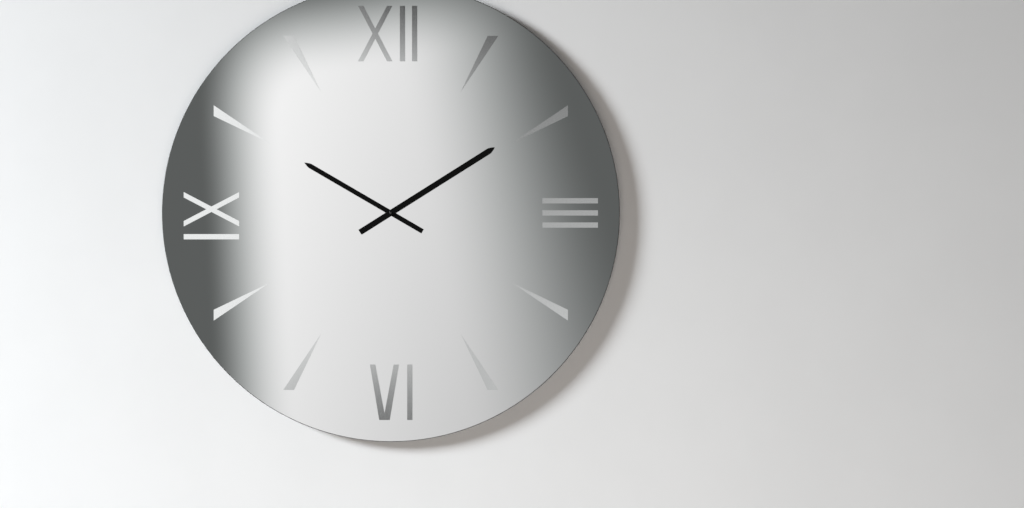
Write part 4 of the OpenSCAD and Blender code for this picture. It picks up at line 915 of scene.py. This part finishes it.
def card(name, card_y, finish, colour, glow, see_through, seen_by=(), not_seen_by=()):
    """A card in front of the clock with its own glow, for some pieces' reflections only."""
    light = add(finish, "ShaderNodeEmission", {"Color": colour, "Strength": glow}).outputs[0]
    if see_through:
        light = add(finish, "ShaderNodeAddShader", {
            0: add(finish, "ShaderNodeBsdfTransparent", {}).outputs[0], 1: light}).outputs[0]
    finish.node_tree.links.new(light, finish.node_tree.nodes["Material Output"].inputs["Surface"])
    sheet = sheet_of(name, [(-CARD_WIDE, card_y, CARD_LOW), (-CARD_WIDE, card_y, CARD_HIGH),
                            (CARD_WIDE, card_y, CARD_HIGH), (CARD_WIDE, card_y, CARD_LOW)], finish)
    sheet.visible_camera = sheet.visible_diffuse = sheet.visible_shadow = False
    sheet.visible_transmission = sheet.visible_volume_scatter = False
    viewers = bpy.data.collections.new(name + "_viewers")
    for piece in seen_by or not_seen_by:
        viewers.objects.link(nodes[piece])
    for linked in viewers.collection_objects:
        linked.light_linking.link_state = "INCLUDE" if seen_by else "EXCLUDE"
    sheet.light_linking.receiver_collection = viewers


mirrored = glow_finish("mirrored_room")
u, w = seen_at(mirrored, CARD_AT)
left_in = sum_up(mirrored, "DIVIDE", sum_up(mirrored, "MAXIMUM", sum_up(
    mirrored, "SUBTRACT", LEFT_EDGE, sum_up(mirrored, "MULTIPLY_ADD", w, LEFT_LEAN, u))), LEFT_SOFT)
top_in = sum_up(mirrored, "DIVIDE", sum_up(mirrored, "MAXIMUM", sum_up(
    mirrored, "SUBTRACT", sum_up(mirrored, "MULTIPLY_ADD", u, TOP_LEAN, w), TOP_EDGE)), TOP_SOFT)
corner = sum_up(mirrored, "ADD", *(
    sum_up(mirrored, "POWER", inside, ROUND_CORNER) for inside in (left_in, top_in)))
corner = sum_up(mirrored, "POWER", corner, 1 / ROUND_CORNER)
open_left = soft_step(mirrored, corner, *CORNER_FROM_TO)
right_start = sum_up(mirrored, "MULTIPLY_ADD", w, RIGHT_FROM_LEAN,
                     sum_up(mirrored, "SUBTRACT", u, RIGHT_FROM))
right_width = sum_up(mirrored, "MULTIPLY_ADD", w, RIGHT_FROM_LEAN - RIGHT_TO_LEAN,
                     RIGHT_TO - RIGHT_FROM)
right_in = sum_up(mirrored, "DIVIDE", right_start, right_width)
opening = sum_up(mirrored, "MULTIPLY", open_left, soft_step(mirrored, right_in, 1.0, 0.0))
panel = sum_up(mirrored, "MULTIPLY_ADD", w, FALL_DOWN,
               sum_up(mirrored, "MULTIPLY_ADD", u, -FALL_RIGHT, BRIGHT))
panel = sum_up(mirrored, "MINIMUM", sum_up(mirrored, "MAXIMUM", panel, PANEL_LEAST), PANEL_MOST)
beyond = soft_step(mirrored, sum_up(mirrored, "ABSOLUTE", u), *BEYOND_FROM_TO)
glow = level(mirrored, beyond, level(mirrored, opening, DARK_FLAG, panel), BEYOND_GLOW)
tint = either(mirrored, opening, FLAG_TINT, PANEL_TINT)
card("mirrored_room_card", CARD_AT, mirrored, tint, glow, False, not_seen_by=MARKS)

# The marks' card: a big board that only the satin numerals and wedges reflect.
# It is bright on the left, dimmer on the right and up there dimmer still, with one dark patch
# over the twelve, one under the six and a faint one outside the eleven.
MARKS_CARD_AT = -4.4
MARKS_LEFT, MARKS_RIGHT, MARKS_SLOPE = 1.12, 0.50, -0.83
MARKS_FROM_TO, MARKS_LEAST, MARKS_MOST = (-0.034, 0.255), 0.05, 0.98
PATCHES = (((0.035, 0.6), (0.135, 0.375), 0.0), ((-0.035, -0.548), (0.02, 0.426), 0.0),
           ((-0.28, 0.52), (0.0, 0.26), 0.45))

marks = glow_finish("marks_room")
u, w = seen_at(marks, MARKS_CARD_AT)
right_glow = sum_up(marks, "MULTIPLY_ADD", w, MARKS_SLOPE, MARKS_RIGHT)
right_glow = sum_up(marks, "MAXIMUM", right_glow, MARKS_LEAST)
right_glow = sum_up(marks, "MINIMUM", right_glow, MARKS_MOST)
glow = level(marks, soft_step(marks, u, *MARKS_FROM_TO), MARKS_LEFT, right_glow)
for (across_x, up_z), (dark_r, clear_r), least in PATCHES:
    off_patch = add(marks, "ShaderNodeCombineXYZ", {
        0: sum_up(marks, "SUBTRACT", u, across_x), 2: sum_up(marks, "SUBTRACT", w, up_z)})
    patch = soft_step(marks, length_of(marks, off_patch.outputs[0]), dark_r, clear_r)
    glow = sum_up(marks, "MULTIPLY", glow, level(marks, patch, least, 1.0))
card("marks_room_card", MARKS_CARD_AT, marks, (1, 1, 1, 1), glow, True, seen_by=MARKS)
